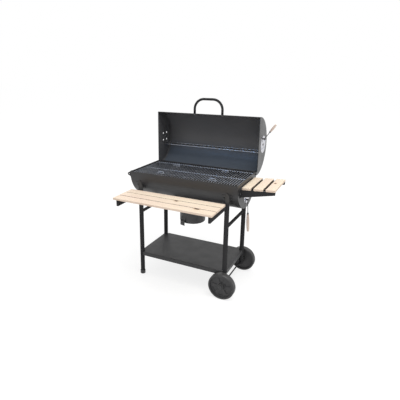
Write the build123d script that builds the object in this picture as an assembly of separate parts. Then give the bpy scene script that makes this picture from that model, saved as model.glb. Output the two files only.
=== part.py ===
from build123d import *
import os
from math import asin, atan, cos, degrees, radians, sin, sqrt

# A barrel charcoal grill on a two-wheeled cart, lid open, in millimetres.
# X runs along the barrel, the front faces -Y, Z is up and the floor is Z = 0.

# Barrel and sheet metal
barrel_radius = 205.0
bowl_length = 800.0
rim_height = 800.0
sheet = 1.5
end_flange = 14.0
ledge_sheet = 2.0

# Lid and its pivots
lid_overhang = 5.0
rim_gap = 2.0
pivot_inset = 14.0
pivot_drop = 14.0
ear_radius = 12.0
open_angle = 90.0
pivot_bolt_radius = 4.0
pivot_head_radius = 7.0
pivot_spacer_radius = 8.0
stop_width = 30.0
stop_place = 250.0
stop_ledge = 11.0
stop_height = 34.0

# Lid handle
handle_spacing = 221.0
handle_reach = 110.0
handle_above_rim = 43.0
handle_tube_radius = 8.0
handle_wall = 2.0
handle_bend = 45.0
handle_plug = 20.0

# Legs and rails
leg_end_inset = 72.0
leg_inset = 22.0
leg_radius = 16.0
leg_wall = 2.0
saddle_sheet = 3.0
saddle_width = 66.0
saddle_turn = 9.0
saddle_bolt_spacing = 46.0
rail_radius = 11.0
rail_wall = 2.0
upper_rail_height = 500.0
foot_radius = 19.0
foot_base = 6.0
foot_height = 28.0

# Lower shelf
lower_shelf_height = 186.0
lower_shelf_lip = 28.0
lower_shelf_overhang = 13.0
lower_shelf_bend = 6.0

# Axle and wheels
axle_radius = 5.0
wheel_radius = 92.5
wheel_width = 46.0
tread_depth = 13.0
web_thickness = 22.0
hub_radius = 21.0
hub_proud = 1.0
pocket_count = 6
pocket_depth = 4.0
washer_thickness = 3.4
washer_radius = 11.0
hub_cap_radius = 13.0
hub_cap_height = 9.0
leg_below_axle = 24.0

# Front shelf
board_thickness = 15.0
board_edge = 2.5
front_shelf_drop = 117.0
front_shelf_gap = 40.0
front_shelf_shift = -14.0
front_board_overhang = 25.0
front_board_width = 69.0
front_board_gap = 7.0
arm_width = 14.0
arm_sheet = 2.0
front_arm_shift = -8.0
front_arm_tip_depth = 41.0
front_arm_root_depth = 39.0
front_arm_setback = 6.0

# Side shelf
side_shelf_drop = 28.0
side_shelf_rise = 13.0
side_shelf_gap = 6.0
side_board_length = 286.0
side_board_width = 60.0
side_board_gap = 17.0
side_arm_spacing = 268.0
side_arm_tip_depth = 19.0
side_arm_root_depth = 52.0
side_arm_setback = 2.0
side_flange_width = 38.0

# Cooking grids, charcoal grate and warming rack
grid_drop = 10.0
grid_wire_radius = 2.0
grid_rod_radius = 3.0
grid_pitch = 18.0
grid_margin = 12.0
grid_end_gap = 8.0
grid_split = 6.0
grid_loop_width = 44.0
grid_loop_height = 12.0
grid_loop_place = 122.0
grate_drop = 100.0
grate_wire_radius = 3.0
grate_rod_radius = 4.0
grate_pitch = 38.0
grate_margin = 10.0
grate_end_gap = 20.0
ledge_reach = 16.0
rack_depth = 84.0
rack_rod_radius = 3.0
rack_wire_radius = 2.0
rack_pitch = 34.0
rack_hang = 12.0
rack_hanger_sheet = 3.0
rack_pin_radius = 4.0
rack_set_in = 62.0
rack_below_middle = 51.0
rack_end_gap = 4.0

# Vents
vent_radius = 62.0
vent_sheet = 1.5
vent_hole_radius = 7.0
vent_hole_square = 54.0
lid_vent_depth = 108.0
bowl_vent_drop = 110.0
rivet_radius = 4.0
rivet_head_radius = 9.0
rivet_head_height = 3.0
knob_radius = 8.0
knob_height = 13.0
knob_place = 40.0
lever_radius = 2.5
lid_lever_tip = (82.0, 147.0)
lid_grip_length = 62.0
lid_grip_radius = 8.5
bowl_lever_tip = (20.0, 268.0)
bowl_grip_length = 126.0
bowl_grip_radius = 10.5
ferrule_radius = 6.0
ferrule_length = 9.0

# Ash outlet and bucket
outlet_radius = 70.0
chute_sheet = 2.0
chute_drop = 13.0
bucket_radius = 93.0
bucket_depth = 146.0
bucket_drop = 17.0
bucket_flange = 11.0
bucket_corner = 7.0
bucket_rail_length = 220.0
bucket_rail_web = 2.0
pull_width = 42.0
pull_sheet = 2.0
pull_stand_off = 9.0
pull_below = 16.0
pull_rise = 42.0
pull_turn = -20.0

# Corner hook
hook_reach = 28.0
hook_height = 44.0
hook_sheet = 4.0
hook_round = 11.0
hook_eye_radius = 4.0

# Fasteners and clearances
bolt_radius = 3.0
bolt_head_radius = 6.0
bolt_head_height = 4.0
screw_radius = 2.0
screw_head_radius = 4.5
screw_head_height = 2.5
screw_bite = 11.0
bolt_clearance = 0.2
running_clearance = 0.06
slip_gap = 0.4
thin_gap = 0.5

# Places that follow from the sizes above
bowl_inside = barrel_radius - sheet
bowl_end = bowl_length / 2
lid_end = bowl_end + lid_overhang
lid_middle_height = rim_height + rim_gap
pivot_y = barrel_radius - pivot_inset
pivot_z = rim_height - pivot_drop
leg_x = bowl_end - leg_end_inset
leg_y = barrel_radius - leg_inset
saddle_outside = barrel_radius + saddle_sheet
front_shelf_height = rim_height - front_shelf_drop
side_shelf_height = rim_height - side_shelf_drop
front_shelf_back = -(barrel_radius + front_shelf_gap)
front_shelf_front = front_shelf_back - 3 * front_board_width - 2 * front_board_gap
lower_rail_height = lower_shelf_height - sheet - rail_radius
wheel_inner_face = leg_y + leg_radius + washer_thickness + slip_gap
wheel_middle = wheel_inner_face + wheel_width / 2 + hub_proud
hub_outer_face = wheel_middle + wheel_width / 2 + hub_proud
axle_height = wheel_radius
grid_height = rim_height - grid_drop
grate_height = rim_height - grate_drop
bucket_top = rim_height - barrel_radius - bucket_drop
bucket_bottom = bucket_top - bucket_depth
side_boards_start = bowl_end + side_shelf_gap
side_boards_end = side_boards_start + 3 * side_board_width + 2 * side_board_gap
side_slope = side_shelf_rise / (side_boards_end - bowl_end)
side_tilt = atan(side_slope)
side_top = side_shelf_height - board_thickness
side_edge_run = side_boards_end - bowl_end - board_edge
side_shelf_reach = side_edge_run * cos(side_tilt) + board_edge * (1 - sin(side_tilt))
open_lid_back = pivot_y + lid_middle_height + barrel_radius - pivot_z

# The pieces are drawn about the barrel's middle and kept about the middle of the whole object
frame_x = (side_shelf_reach - hook_reach) / 2
frame_y = (front_shelf_front + open_lid_back) / 2

os.makedirs("parts", exist_ok=True)


def save(name, shape):
    export_step(Pos(-frame_x, -frame_y, 0) * shape, f"parts/{name}.step")


def group(*pieces):
    return Compound(children=list(pieces))


def rod(start, end, radius):
    """A round bar between two points."""
    first = Vector(*start)
    along = Vector(*end) - first
    return extrude(Plane(origin=first, z_dir=along) * Circle(radius), amount=along.length)


def hexagon(start, end, radius):
    """A hexagonal bar between two points, radius across its corners."""
    first = Vector(*start)
    along = Vector(*end) - first
    return extrude(Plane(origin=first, z_dir=along) * RegularPolygon(radius, 6), amount=along.length)


def along_x(profile, start, end):
    """A prism along X from a profile drawn in Y and Z."""
    base = Plane(origin=(start, 0, 0), x_dir=(0, 1, 0), z_dir=(1, 0, 0))
    return extrude(base * profile, amount=end - start)


def along_y(profile, start, end):
    """A prism along Y from a profile drawn in X and Z."""
    base = Plane(origin=(0, end, 0), x_dir=(1, 0, 0), z_dir=(0, -1, 0))
    return extrude(base * profile, amount=end - start)


def polygon(*points):
    return make_face(Polyline(*points, close=True))


def block(x0, x1, y0, y1, z0, z1):
    middle = ((x0 + x1) / 2, (y0 + y1) / 2, (z0 + z1) / 2)
    return Pos(*middle) * Box(x1 - x0, y1 - y0, z1 - z0)


def shifted(point, step, distance):
    return tuple(a + b * distance for a, b in zip(point, step))


def bolt(seat, into, grip, radius=bolt_radius, head=bolt_head_radius, height=bolt_head_height):
    """A hexagon bolt with its nut, its head seated at a point and its shank going into the pieces."""
    shank = rod(seat, shifted(seat, into, grip + height), radius)
    cap = hexagon(seat, shifted(seat, into, -height), head)
    nut = hexagon(shifted(seat, into, grip), shifted(seat, into, grip + height), head)
    return shank + cap + nut


def bolt_hole(seat, into, grip, radius=bolt_radius + bolt_clearance):
    return rod(shifted(seat, into, -2), shifted(seat, into, grip + 2), radius)


def on_pivot(start, end, radius, bar=rod):
    """A bar on the lid's pivot line between two places along X."""
    return bar((start, pivot_y, pivot_z), (end, pivot_y, pivot_z), radius)


def opened(shape):
    """Swings a piece of the shut lid up to the open lid."""
    swing = Location((0, pivot_y, pivot_z), (-open_angle, 0, 0))
    return swing * (Pos(0, -pivot_y, -pivot_z) * shape)


def open_point(y, z):
    """Where a point of the shut lid goes when the lid opens."""
    turn = radians(-open_angle)
    across = y - pivot_y
    up = z - pivot_z
    return (pivot_y + across * cos(turn) - up * sin(turn), pivot_z + across * sin(turn) + up * cos(turn))


def tilted(shape):
    """Tips a level piece of the side shelf up to the slope of its arms."""
    swing = Location((bowl_end, 0, side_top), (0, -degrees(side_tilt), 0))
    return swing * (Pos(-bowl_end, 0, -side_top) * shape)


def half_disc(radius, height, upper):
    """Half a disc on the barrel's section, above or below the split line."""
    side = 1 if upper else -1
    keep = Pos(0, side * radius) * Rectangle(2 * radius + 2, 2 * radius)
    return Pos(0, height) * (Circle(radius) & keep)


def half_ring(outside, inside, height, upper):
    return half_disc(outside, height, upper) - Pos(0, height) * Circle(inside)


def dished_end(outer_face, inward, height, upper):
    """An end plate of the barrel with the flange that stands against the shell."""
    turned = outer_face - inward * end_flange
    plate_back = outer_face - inward * sheet
    low, high = sorted((outer_face, plate_back))
    plate = along_x(half_disc(bowl_inside, height, upper), low, high)
    low, high = sorted((plate_back, turned))
    flange = along_x(half_ring(bowl_inside, bowl_inside - sheet, height, upper), low, high)
    return plate + flange


def vent_points(y, z):
    half = vent_hole_square / 2
    return [(y + a * half, z + b * half) for a in (-1, 1) for b in (-1, 1)]


def vent_cuts(face, y, z):
    """The four vent holes and the rivet hole of an end plate."""
    holes = [rod((face - 6, a, b), (face + 6, a, b), vent_hole_radius) for a, b in vent_points(y, z)]
    holes.append(rod((face - 6, y, z), (face + 6, y, z), rivet_radius))
    return holes


def vent_disc(face, outward, y, z):
    """The round damper that turns on its rivet outside an end plate."""
    near = face + outward * slip_gap
    far = near + outward * vent_sheet
    disc = rod((near, y, z), (far, y, z), vent_radius)
    for a, b in vent_points(y, z):
        disc -= rod((near - outward, a, b), (far + outward, a, b), vent_hole_radius)
    disc -= rod((near - outward, y, z), (far + outward, y, z), rivet_radius + running_clearance)
    rim = disc.edges().filter_by(GeomType.CIRCLE).sort_by(SortBy.RADIUS)[-2:]
    return chamfer(rim.sort_by(Axis.X)[-1 if outward > 0 else 0], 0.7)


def vent_rivet(face, outward, y, z):
    """The rivet through an end plate that carries a damper."""
    back = face - outward * sheet
    head = face + outward * (slip_gap + vent_sheet + slip_gap)
    shank = rod((back - outward * 2, y, z), (head + outward, y, z), rivet_radius)
    outside = rod((head, y, z), (head + outward * rivet_head_height, y, z), rivet_head_radius)
    inside = rod((back, y, z), (back - outward * 2, y, z), rivet_head_radius - 2)
    return shank + outside + inside


def knob(foot, outward):
    """A turned knob with a waist, standing on a damper."""
    waist = knob_radius * 0.7
    profile = polygon(
        (0, 0), (waist, 0), (waist, knob_height * 0.4), (knob_radius, knob_height * 0.6),
        (knob_radius, knob_height * 0.85), (knob_radius * 0.75, knob_height), (0, knob_height),
    )
    solid = revolve(Plane.XZ * profile, Axis.Z)
    return Plane(origin=foot, z_dir=(outward, 0, 0)) * solid


def turned_grip(start, end, radius):
    """A wooden grip with a swelled middle and rounded ends."""
    first = Vector(*start)
    along = Vector(*end) - first
    length = along.length
    waist = radius * 0.72
    outline = Spline((waist, 0), (radius, length * 0.45), (waist * 1.1, length * 0.97))
    closing = Polyline(
        (waist * 1.1, length * 0.97), (waist * 0.8, length), (0, length), (0, 0), (waist, 0),
    )
    solid = revolve(Plane.XZ * make_face(outline + closing), Axis.Z)
    return Plane(origin=first, z_dir=along) * solid


def channel_arm(points, axis_offset, vertical_plane):
    """A folded channel, open below, from its side outline; its top edge comes first in the points."""
    half = arm_width / 2
    outline = polygon(*points)
    (x0, top0), (x1, top1), (_, low1), (_, low0) = points
    slope = (top1 - top0) / (x1 - x0)
    drop = arm_sheet * sqrt(1 + slope**2)
    hollow = polygon(
        (x0 + arm_sheet, top0 + slope * arm_sheet - drop),
        (x1 - arm_sheet, top1 - slope * arm_sheet - drop),
        (x1 - arm_sheet, low1 - 30), (x0 + arm_sheet, low0 - 30),
    )
    if vertical_plane == "XZ":
        whole = along_y(outline, axis_offset - half, axis_offset + half)
        return whole - along_y(hollow, axis_offset - half + arm_sheet, axis_offset + half - arm_sheet)
    whole = along_x(outline, axis_offset - half, axis_offset + half)
    return whole - along_x(hollow, axis_offset - half + arm_sheet, axis_offset + half - arm_sheet)


def board(x0, x1, y0, y1, top):
    """A planed board with eased edges."""
    plank = block(x0, x1, y0, y1, top - board_thickness, top)
    return fillet(plank.edges(), board_edge)


def wood_screw(x, y, seat):
    """A screw driven up through an arm into a board."""
    shank = rod((x, y, seat), (x, y, seat + arm_sheet + screw_bite), screw_radius)
    head = rod((x, y, seat), (x, y, seat - screw_head_height), screw_head_radius)
    return shank + head


def screw_hole(x, y, top):
    """The hole that a wood screw cuts in a board, from the top of the arm below it."""
    return rod((x, y, top - 1), (x, y, top + screw_bite), screw_radius)


def arm_hole(x, y, top):
    """The clear hole for a wood screw through the top sheet of an arm."""
    return rod((x, y, top - arm_sheet - 1), (x, y, top + 1), screw_radius + bolt_clearance)


def ledge(height, side):
    """A folded strip along the inside of the bowl, its top at a height."""
    half_width = sqrt(bowl_inside**2 - (rim_height - height) ** 2)
    band = Pos(side * barrel_radius, height - ledge_reach / 2) * Rectangle(2 * barrel_radius, ledge_reach)
    wall = half_ring(bowl_inside, bowl_inside - ledge_sheet, rim_height, False) & band
    shelf = Pos(side * half_width, height - ledge_sheet / 2) * Rectangle(2 * ledge_reach, ledge_sheet)
    shelf = shelf & half_disc(bowl_inside, rim_height, False)
    reach = bowl_end - end_flange - thin_gap
    return along_x(wall + shelf, -reach, reach)


def wire_grid(x0, x1, half_depth, height, pitch, wire, bar, bars):
    """Wires along Y welded on round bars along X, the wires' middle at a height."""
    count = int((x1 - x0 - 2 * wire) / pitch) + 1
    first = (x0 + x1) / 2 - (count - 1) * pitch / 2
    bar_height = height - wire - bar + 0.6
    pieces = [rod((x0, y, bar_height), (x1, y, bar_height), bar) for y in bars]
    for index in range(count):
        x = first + index * pitch
        pieces.append(rod((x, -half_depth, height), (x, half_depth, height), wire))
    return pieces


def fused(pieces):
    return pieces[0].fuse(*pieces[1:])


def lifting_loop(x, y, height):
    """A bent wire loop that lifts a cooking grid."""
    half = grid_loop_width / 2
    path = FilletPolyline(
        (x - half, y, height), (x - half, y, height + grid_loop_height),
        (x + half, y, height + grid_loop_height), (x + half, y, height), radius=5,
    )
    section = Plane(origin=path @ 0, z_dir=path % 0) * Circle(grid_wire_radius)
    return sweep(section, path=path)


# Bowl
leg_points = [(sx * leg_x, sy * leg_y) for sx in (-1, 1) for sy in (-1, 1)]
leg_lean = asin(leg_y / saddle_outside)


def leg_bolt_places(x, y):
    side = 1 if y > 0 else -1
    into = (0, -side * sin(leg_lean), cos(leg_lean))
    seat_y = side * saddle_outside * sin(leg_lean)
    seat_z = rim_height - saddle_outside * cos(leg_lean)
    half = saddle_bolt_spacing / 2
    return [((x + step, seat_y, seat_z), into) for step in (-half, half)]


saddle_grip = saddle_sheet + sheet + 0.1
saddle_bolts = [place for x, y in leg_points for place in leg_bolt_places(x, y)]
bowl_shell = along_x(half_ring(barrel_radius, bowl_inside, rim_height, False), -bowl_end, bowl_end)
bowl_shell -= rod((0, 0, 0), (0, 0, rim_height - barrel_radius + 60), outlet_radius)
for seat, into in saddle_bolts:
    bowl_shell -= bolt_hole(seat, into, saddle_grip)

stop_bolt_height = rim_height - pivot_drop - stop_height
stop_lean = asin((rim_height - stop_bolt_height) / (barrel_radius + ledge_sheet))
stop_grip = ledge_sheet + sheet + 0.1


def stop_bolt_place(x):
    outside = barrel_radius + ledge_sheet
    seat = (x, outside * cos(stop_lean), stop_bolt_height)
    return seat, (0, -cos(stop_lean), sin(stop_lean))


stop_bolts = [stop_bolt_place(side * stop_place) for side in (-1, 1)]
for seat, into in stop_bolts:
    bowl_shell -= bolt_hole(seat, into, stop_grip)
save("bowl_shell", bowl_shell)

vent_middle = rim_height - bowl_vent_drop
hook_bolt_y = -(barrel_radius - end_flange - bolt_head_radius)
hook_bolt_z = rim_height - hook_height / 2
bowl_left_end = dished_end(-bowl_end, -1, rim_height, False)
bowl_right_end = dished_end(bowl_end, 1, rim_height, False)
pivot_cut = on_pivot(-bowl_end - 5, -bowl_end + 5, pivot_bolt_radius)
bowl_left_end -= pivot_cut
bowl_right_end -= Pos(bowl_length, 0, 0) * pivot_cut
bowl_left_end -= bolt_hole((-bowl_end, hook_bolt_y, hook_bolt_z), (1, 0, 0), sheet)
for cut in vent_cuts(bowl_end, 0, vent_middle):
    bowl_right_end -= cut

# Side shelf arms, their flanges and bolts
side_x0 = bowl_end
side_arm_tip = side_boards_end - side_arm_setback
side_tip_top = side_top + side_slope * (side_arm_tip - side_x0)
side_arm_outline = [
    (side_x0, side_top), (side_arm_tip, side_tip_top),
    (side_arm_tip, side_tip_top - side_arm_tip_depth), (side_x0, side_top - side_arm_root_depth),
]
side_bolt_z = side_top - side_arm_root_depth / 2
side_bolt_step = side_flange_width / 2 - bolt_head_radius / 2
side_grip = arm_sheet + sheet
side_bolts = []
side_arms = []
for arm_y in (-side_arm_spacing / 2, side_arm_spacing / 2):
    arm = channel_arm(side_arm_outline, arm_y, "XZ")
    half = side_flange_width / 2 + bolt_head_radius
    low = side_top - side_arm_root_depth
    arm += block(side_x0, side_x0 + arm_sheet, arm_y - half, arm_y + half, low, side_top)
    for step in (-side_bolt_step, side_bolt_step):
        seat = (side_x0 + arm_sheet, arm_y + step, side_bolt_z)
        side_bolts.append((seat, (-1, 0, 0)))
    side_arms.append(arm)
for seat, into in side_bolts:
    bowl_right_end -= bolt_hole(seat, into, side_grip)
    side_arms = [arm - bolt_hole(seat, into, side_grip) for arm in side_arms]

side_screws = []
side_board_names = ("side_board_inner", "side_board_middle", "side_board_outer")
for index, name in enumerate(side_board_names):
    x0 = side_boards_start + index * (side_board_width + side_board_gap)
    x1 = x0 + side_board_width
    plank = board(x0, x1, -side_board_length / 2, side_board_length / 2, side_shelf_height)
    for arm_y in (-side_arm_spacing / 2, side_arm_spacing / 2):
        place = ((x0 + x1) / 2, arm_y)
        plank -= screw_hole(*place, side_top)
        side_arms = [arm - tilted(arm_hole(*place, side_top)) for arm in side_arms]
        side_screws.append(tilted(wood_screw(*place, side_top - arm_sheet)))
    save(name, tilted(plank))
save("side_front_arm", side_arms[0])
save("side_rear_arm", side_arms[1])
save("bowl_left_end", bowl_left_end)
save("bowl_right_end", bowl_right_end)
plate_bolts = [bolt(seat, into, side_grip) for seat, into in side_bolts]

# Legs, saddles, rails and feet
saddle_half = degrees(asin((leg_radius + saddle_turn) / saddle_outside))
rails = []
for x in (-leg_x, leg_x):
    for height in (upper_rail_height, lower_rail_height):
        rail = rod((x, -leg_y, height), (x, leg_y, height), rail_radius)
        rail -= rod((x, -leg_y, height), (x, leg_y, height), rail_radius - rail_wall)
        for y in (-leg_y, leg_y):
            rail -= rod((x, y, 0), (x, y, rim_height), leg_radius)
        rails.append(rail)
save("side_rails", group(*rails))

saddles = []
leg_names = {
    (-1, -1): "front_left_leg",
    (-1, 1): "rear_left_leg",
    (1, -1): "front_right_leg",
    (1, 1): "rear_right_leg",
}
saddle_cut = along_x(Pos(0, rim_height) * Circle(saddle_outside), -bowl_length, bowl_length)
axle_cut = rod((leg_x, -leg_y - 50, axle_height), (leg_x, leg_y + 50, axle_height), axle_radius)
for x, y in leg_points:
    side = (1 if x > 0 else -1, 1 if y > 0 else -1)
    bottom = foot_base if side[0] < 0 else axle_height - leg_below_axle
    leg = rod((x, y, bottom), (x, y, rim_height), leg_radius)
    leg -= rod((x, y, bottom), (x, y, rim_height), leg_radius - leg_wall)
    leg = (leg - saddle_cut).solids().sort_by(Axis.Z)[0]
    if side[0] > 0:
        leg = leg - axle_cut
    save(leg_names[side], leg)
    middle = -90 + side[1] * degrees(leg_lean)
    wedge_reach = 2 * barrel_radius
    edges = [radians(middle + turn) for turn in (-saddle_half, saddle_half)]
    wedge = polygon((0, 0), *[(wedge_reach * cos(edge), wedge_reach * sin(edge)) for edge in edges])
    strip = (Circle(saddle_outside) - Circle(barrel_radius)) & wedge
    saddle = along_x(Pos(0, rim_height) * strip, x - saddle_width / 2, x + saddle_width / 2)
    for seat, into in leg_bolt_places(x, y):
        saddle -= bolt_hole(seat, into, saddle_grip)
    saddles.append(saddle)
save("leg_saddles", group(*saddles))
save("leg_bolts", group(*[bolt(seat, into, saddle_grip) for seat, into in saddle_bolts]))

feet = []
for y in (-leg_y, leg_y):
    foot = Pos(-leg_x, y, foot_height / 2) * Cylinder(foot_radius, foot_height)
    foot = chamfer(foot.edges().filter_by(GeomType.CIRCLE), 2)
    foot -= rod((-leg_x, y, foot_base), (-leg_x, y, foot_height + 1), leg_radius)
    feet.append(foot)
save("leg_feet", group(*feet))

# Lower shelf
shelf_x = leg_x + lower_shelf_overhang
shelf_y = leg_y + leg_radius + 1
tray = block(-shelf_x, shelf_x, -shelf_y, shelf_y, lower_shelf_height - lower_shelf_lip, lower_shelf_height)
tray = fillet(tray.faces().sort_by(Axis.Z)[-1].edges(), lower_shelf_bend)
hollow = block(
    -shelf_x + sheet, shelf_x - sheet, -shelf_y + sheet, shelf_y - sheet,
    lower_shelf_height - lower_shelf_lip - 1, lower_shelf_height - sheet,
)
hollow = fillet(hollow.faces().sort_by(Axis.Z)[-1].edges(), lower_shelf_bend - sheet)
tray -= hollow
notch_x = leg_x - leg_radius - 1
notch_y = leg_y - leg_radius - 1
for sx in (-1, 1):
    for sy in (-1, 1):
        xs = sorted((sx * notch_x, sx * (shelf_x + 5)))
        ys = sorted((sy * notch_y, sy * (shelf_y + 5)))
        tray -= block(*xs, *ys, lower_shelf_height - lower_shelf_lip - 5, lower_shelf_height + 5)
save("lower_shelf", tray)

# Axle, washers, wheels and hub caps
axle_end = hub_outer_face + slip_gap + hub_cap_height - 3
save("axle", rod((leg_x, -axle_end, axle_height), (leg_x, axle_end, axle_height), axle_radius))
half_width = wheel_width / 2
half_hub = half_width + hub_proud
half_web = web_thickness / 2
tread_inner = wheel_radius - tread_depth
bore = axle_radius + running_clearance
wheel_outline = polygon(
    (bore, -half_hub), (hub_radius, -half_hub), (hub_radius, -half_web), (tread_inner - 4, -half_web),
    (tread_inner, -half_width), (wheel_radius - 4, -half_width), (wheel_radius, -half_width + 6),
    (wheel_radius, half_width - 6), (wheel_radius - 4, half_width), (tread_inner, half_width),
    (tread_inner - 4, half_web), (hub_radius + 3, half_web), (hub_radius, half_hub), (bore, half_hub),
)
wheel = revolve(Plane.XZ * wheel_outline, Axis.Z)
pocket_inner = hub_radius + 11
pocket_outer = tread_inner - 11
pocket_turn = radians(180 / pocket_count - 11)
pocket = polygon(
    (pocket_inner * cos(pocket_turn), pocket_inner * sin(pocket_turn)),
    (pocket_inner * cos(pocket_turn), -pocket_inner * sin(pocket_turn)),
    (pocket_outer * cos(pocket_turn), -pocket_outer * sin(pocket_turn)),
    (pocket_outer * cos(pocket_turn), pocket_outer * sin(pocket_turn)),
)
pocket = fillet(pocket.vertices(), 5)
pocket = Pos(0, 0, half_web - pocket_depth) * extrude(pocket, amount=pocket_depth + 1)
for index in range(pocket_count):
    wheel -= Rot(0, 0, index * 360 / pocket_count + 30) * pocket
washers = []
caps = []
for name, side in (("front_wheel", -1), ("rear_wheel", 1)):
    save(name, Location((leg_x, side * wheel_middle, axle_height), (-side * 90, 0, 0)) * wheel)
    near = side * (leg_y + leg_radius)
    far = near + side * washer_thickness
    washer = rod((leg_x, near, axle_height), (leg_x, far, axle_height), washer_radius)
    washers.append(washer - axle_cut)
    near = side * (hub_outer_face + slip_gap)
    far = near + side * hub_cap_height
    cap = rod((leg_x, near, axle_height), (leg_x, far, axle_height), hub_cap_radius)
    rim = cap.edges().filter_by(GeomType.CIRCLE).sort_by(Axis.Y)[-1 if side > 0 else 0]
    cap = fillet(rim, 4)
    caps.append(cap - rod((leg_x, -axle_end, axle_height), (leg_x, axle_end, axle_height), axle_radius))
save("axle_washers", group(*washers))
save("hub_caps", group(*caps))

# Front shelf
front_top = front_shelf_height - board_thickness
arm_front = front_shelf_front + front_arm_setback
front_arms = []
front_arm_places = (-leg_x + front_arm_shift, leg_x + front_arm_shift)
for leg_place, x in zip((-leg_x, leg_x), front_arm_places):
    outline = [
        (arm_front, front_top), (-leg_y, front_top),
        (-leg_y, front_top - front_arm_root_depth), (arm_front, front_top - front_arm_tip_depth),
    ]
    arm = channel_arm(outline, x, "YZ")
    front_arms.append(arm - rod((leg_place, -leg_y, 0), (leg_place, -leg_y, rim_height), leg_radius))
front_screws = []
front_board_names = ("front_board_outer", "front_board_middle", "front_board_inner")
front_board_half = leg_x + front_board_overhang
front_board_ends = (front_shelf_shift - front_board_half, front_shelf_shift + front_board_half)
for index, name in enumerate(front_board_names):
    y0 = front_shelf_front + index * (front_board_width + front_board_gap)
    y1 = y0 + front_board_width
    plank = board(*front_board_ends, y0, y1, front_shelf_height)
    for x in front_arm_places:
        place = (x, (y0 + y1) / 2)
        plank -= screw_hole(*place, front_top)
        front_arms = [arm - arm_hole(*place, front_top) for arm in front_arms]
        front_screws.append(wood_screw(*place, front_top - arm_sheet))
    save(name, plank)
save("front_left_arm", front_arms[0].solids().sort_by(SortBy.VOLUME)[-1])
save("front_right_arm", front_arms[1].solids().sort_by(SortBy.VOLUME)[-1])
save("board_screws", group(*side_screws, *front_screws))

# Ledges, grids and grate inside the bowl
grid_rest = grid_height - grid_wire_radius - 2 * grid_rod_radius + 0.6 - slip_gap
grate_rest = grate_height - grate_wire_radius - 2 * grate_rod_radius + 0.6 - slip_gap
save("grid_ledges", group(*[ledge(grid_rest, side) for side in (-1, 1)]))
save("grate_ledges", group(*[ledge(grate_rest, side) for side in (-1, 1)]))
grid_half = sqrt(bowl_inside**2 - (rim_height - grid_rest) ** 2) - grid_margin
grid_bars = (-grid_half + 6, 0, grid_half - 6)
grid_reach = bowl_end - grid_end_gap - sheet
for name, x0, x1 in (
    ("left_cooking_grid", -grid_reach, -grid_split / 2),
    ("right_cooking_grid", grid_split / 2, grid_reach),
):
    pieces = wire_grid(
        x0, x1, grid_half, grid_height, grid_pitch, grid_wire_radius, grid_rod_radius, grid_bars,
    )
    middle = (x0 + x1) / 2
    reach = grid_loop_width / 2 + grid_pitch / 2
    for y in (-grid_loop_place, grid_loop_place):
        pieces.append(lifting_loop(middle, y, grid_height))
        tie = ((middle - reach, y, grid_height), (middle + reach, y, grid_height))
        pieces.append(rod(*tie, grid_wire_radius))
    save(name, fused(pieces))
grate_half = sqrt(bowl_inside**2 - (rim_height - grate_rest) ** 2) - grate_margin
grate_reach = bowl_end - grate_end_gap
grate_bars = (-grate_half + 4, 0, grate_half - 4)
grate_wires = wire_grid(
    -grate_reach, grate_reach, grate_half, grate_height,
    grate_pitch, grate_wire_radius, grate_rod_radius, grate_bars,
)
save("charcoal_grate", fused(grate_wires))

# Ash chute, bucket rails, bucket and its pull
barrel_solid = along_x(Pos(0, rim_height) * Circle(barrel_radius), -bowl_length, bowl_length)
bowl_bottom = rim_height - barrel_radius
chute_low = bowl_bottom - chute_drop
chute = rod((0, 0, chute_low), (0, 0, bowl_bottom + 40), outlet_radius + chute_sheet)
chute -= rod((0, 0, chute_low), (0, 0, bowl_bottom + 40), outlet_radius)
save("ash_chute", chute - barrel_solid)
flange_radius = bucket_radius + bucket_flange
rail_inner = bucket_radius + 4
rail_outer = flange_radius + 2
ledge_top = bucket_top - sheet - slip_gap
ledge_low = ledge_top - bucket_rail_web
rail_ends = (-bucket_rail_length / 2, bucket_rail_length / 2)
bucket_rails = []
for side in (-1, 1):
    xs = sorted((side * rail_inner, side * (rail_outer + bucket_rail_web)))
    shelf = block(*xs, *rail_ends, ledge_low, ledge_top)
    xs = sorted((side * rail_outer, side * (rail_outer + bucket_rail_web)))
    web = block(*xs, *rail_ends, ledge_low, bowl_bottom + 60)
    bucket_rails.append((shelf + web) - barrel_solid)
save("bucket_rails", group(*bucket_rails))
bucket = rod((0, 0, bucket_bottom), (0, 0, bucket_top), bucket_radius)
bucket = fillet(bucket.edges().filter_by(GeomType.CIRCLE).sort_by(Axis.Z)[0], bucket_corner)
inside = rod((0, 0, bucket_bottom + sheet), (0, 0, bucket_top + 1), bucket_radius - sheet)
inside = fillet(inside.edges().filter_by(GeomType.CIRCLE).sort_by(Axis.Z)[0], bucket_corner - sheet)
flange = rod((0, 0, bucket_top - sheet), (0, 0, bucket_top), flange_radius)
bucket = (bucket + flange) - inside
save("ash_bucket", bucket)
pull_top = bucket_bottom + pull_rise
pull_root = bucket_radius + pull_sheet
pull_out = bucket_radius + pull_stand_off
pull_low = bucket_bottom - pull_below
pull = polygon(
    (bucket_radius, pull_top), (pull_root, pull_top), (pull_root, pull_top - 16),
    (pull_out + pull_sheet, pull_top - 26), (pull_out + pull_sheet, pull_low),
    (pull_out, pull_low), (pull_out, pull_top - 25), (bucket_radius, pull_top - 15),
)
half = pull_width / 2
pull = extrude(Plane.XZ * pull, amount=half, both=True)
pull += block(bucket_radius - 6, bucket_radius + 1, -half, half, pull_top - 15, pull_top)
pull -= rod((0, 0, bucket_bottom), (0, 0, bucket_top), bucket_radius)
save("bucket_pull", Rot(0, 0, -90 + pull_turn) * pull)

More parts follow.
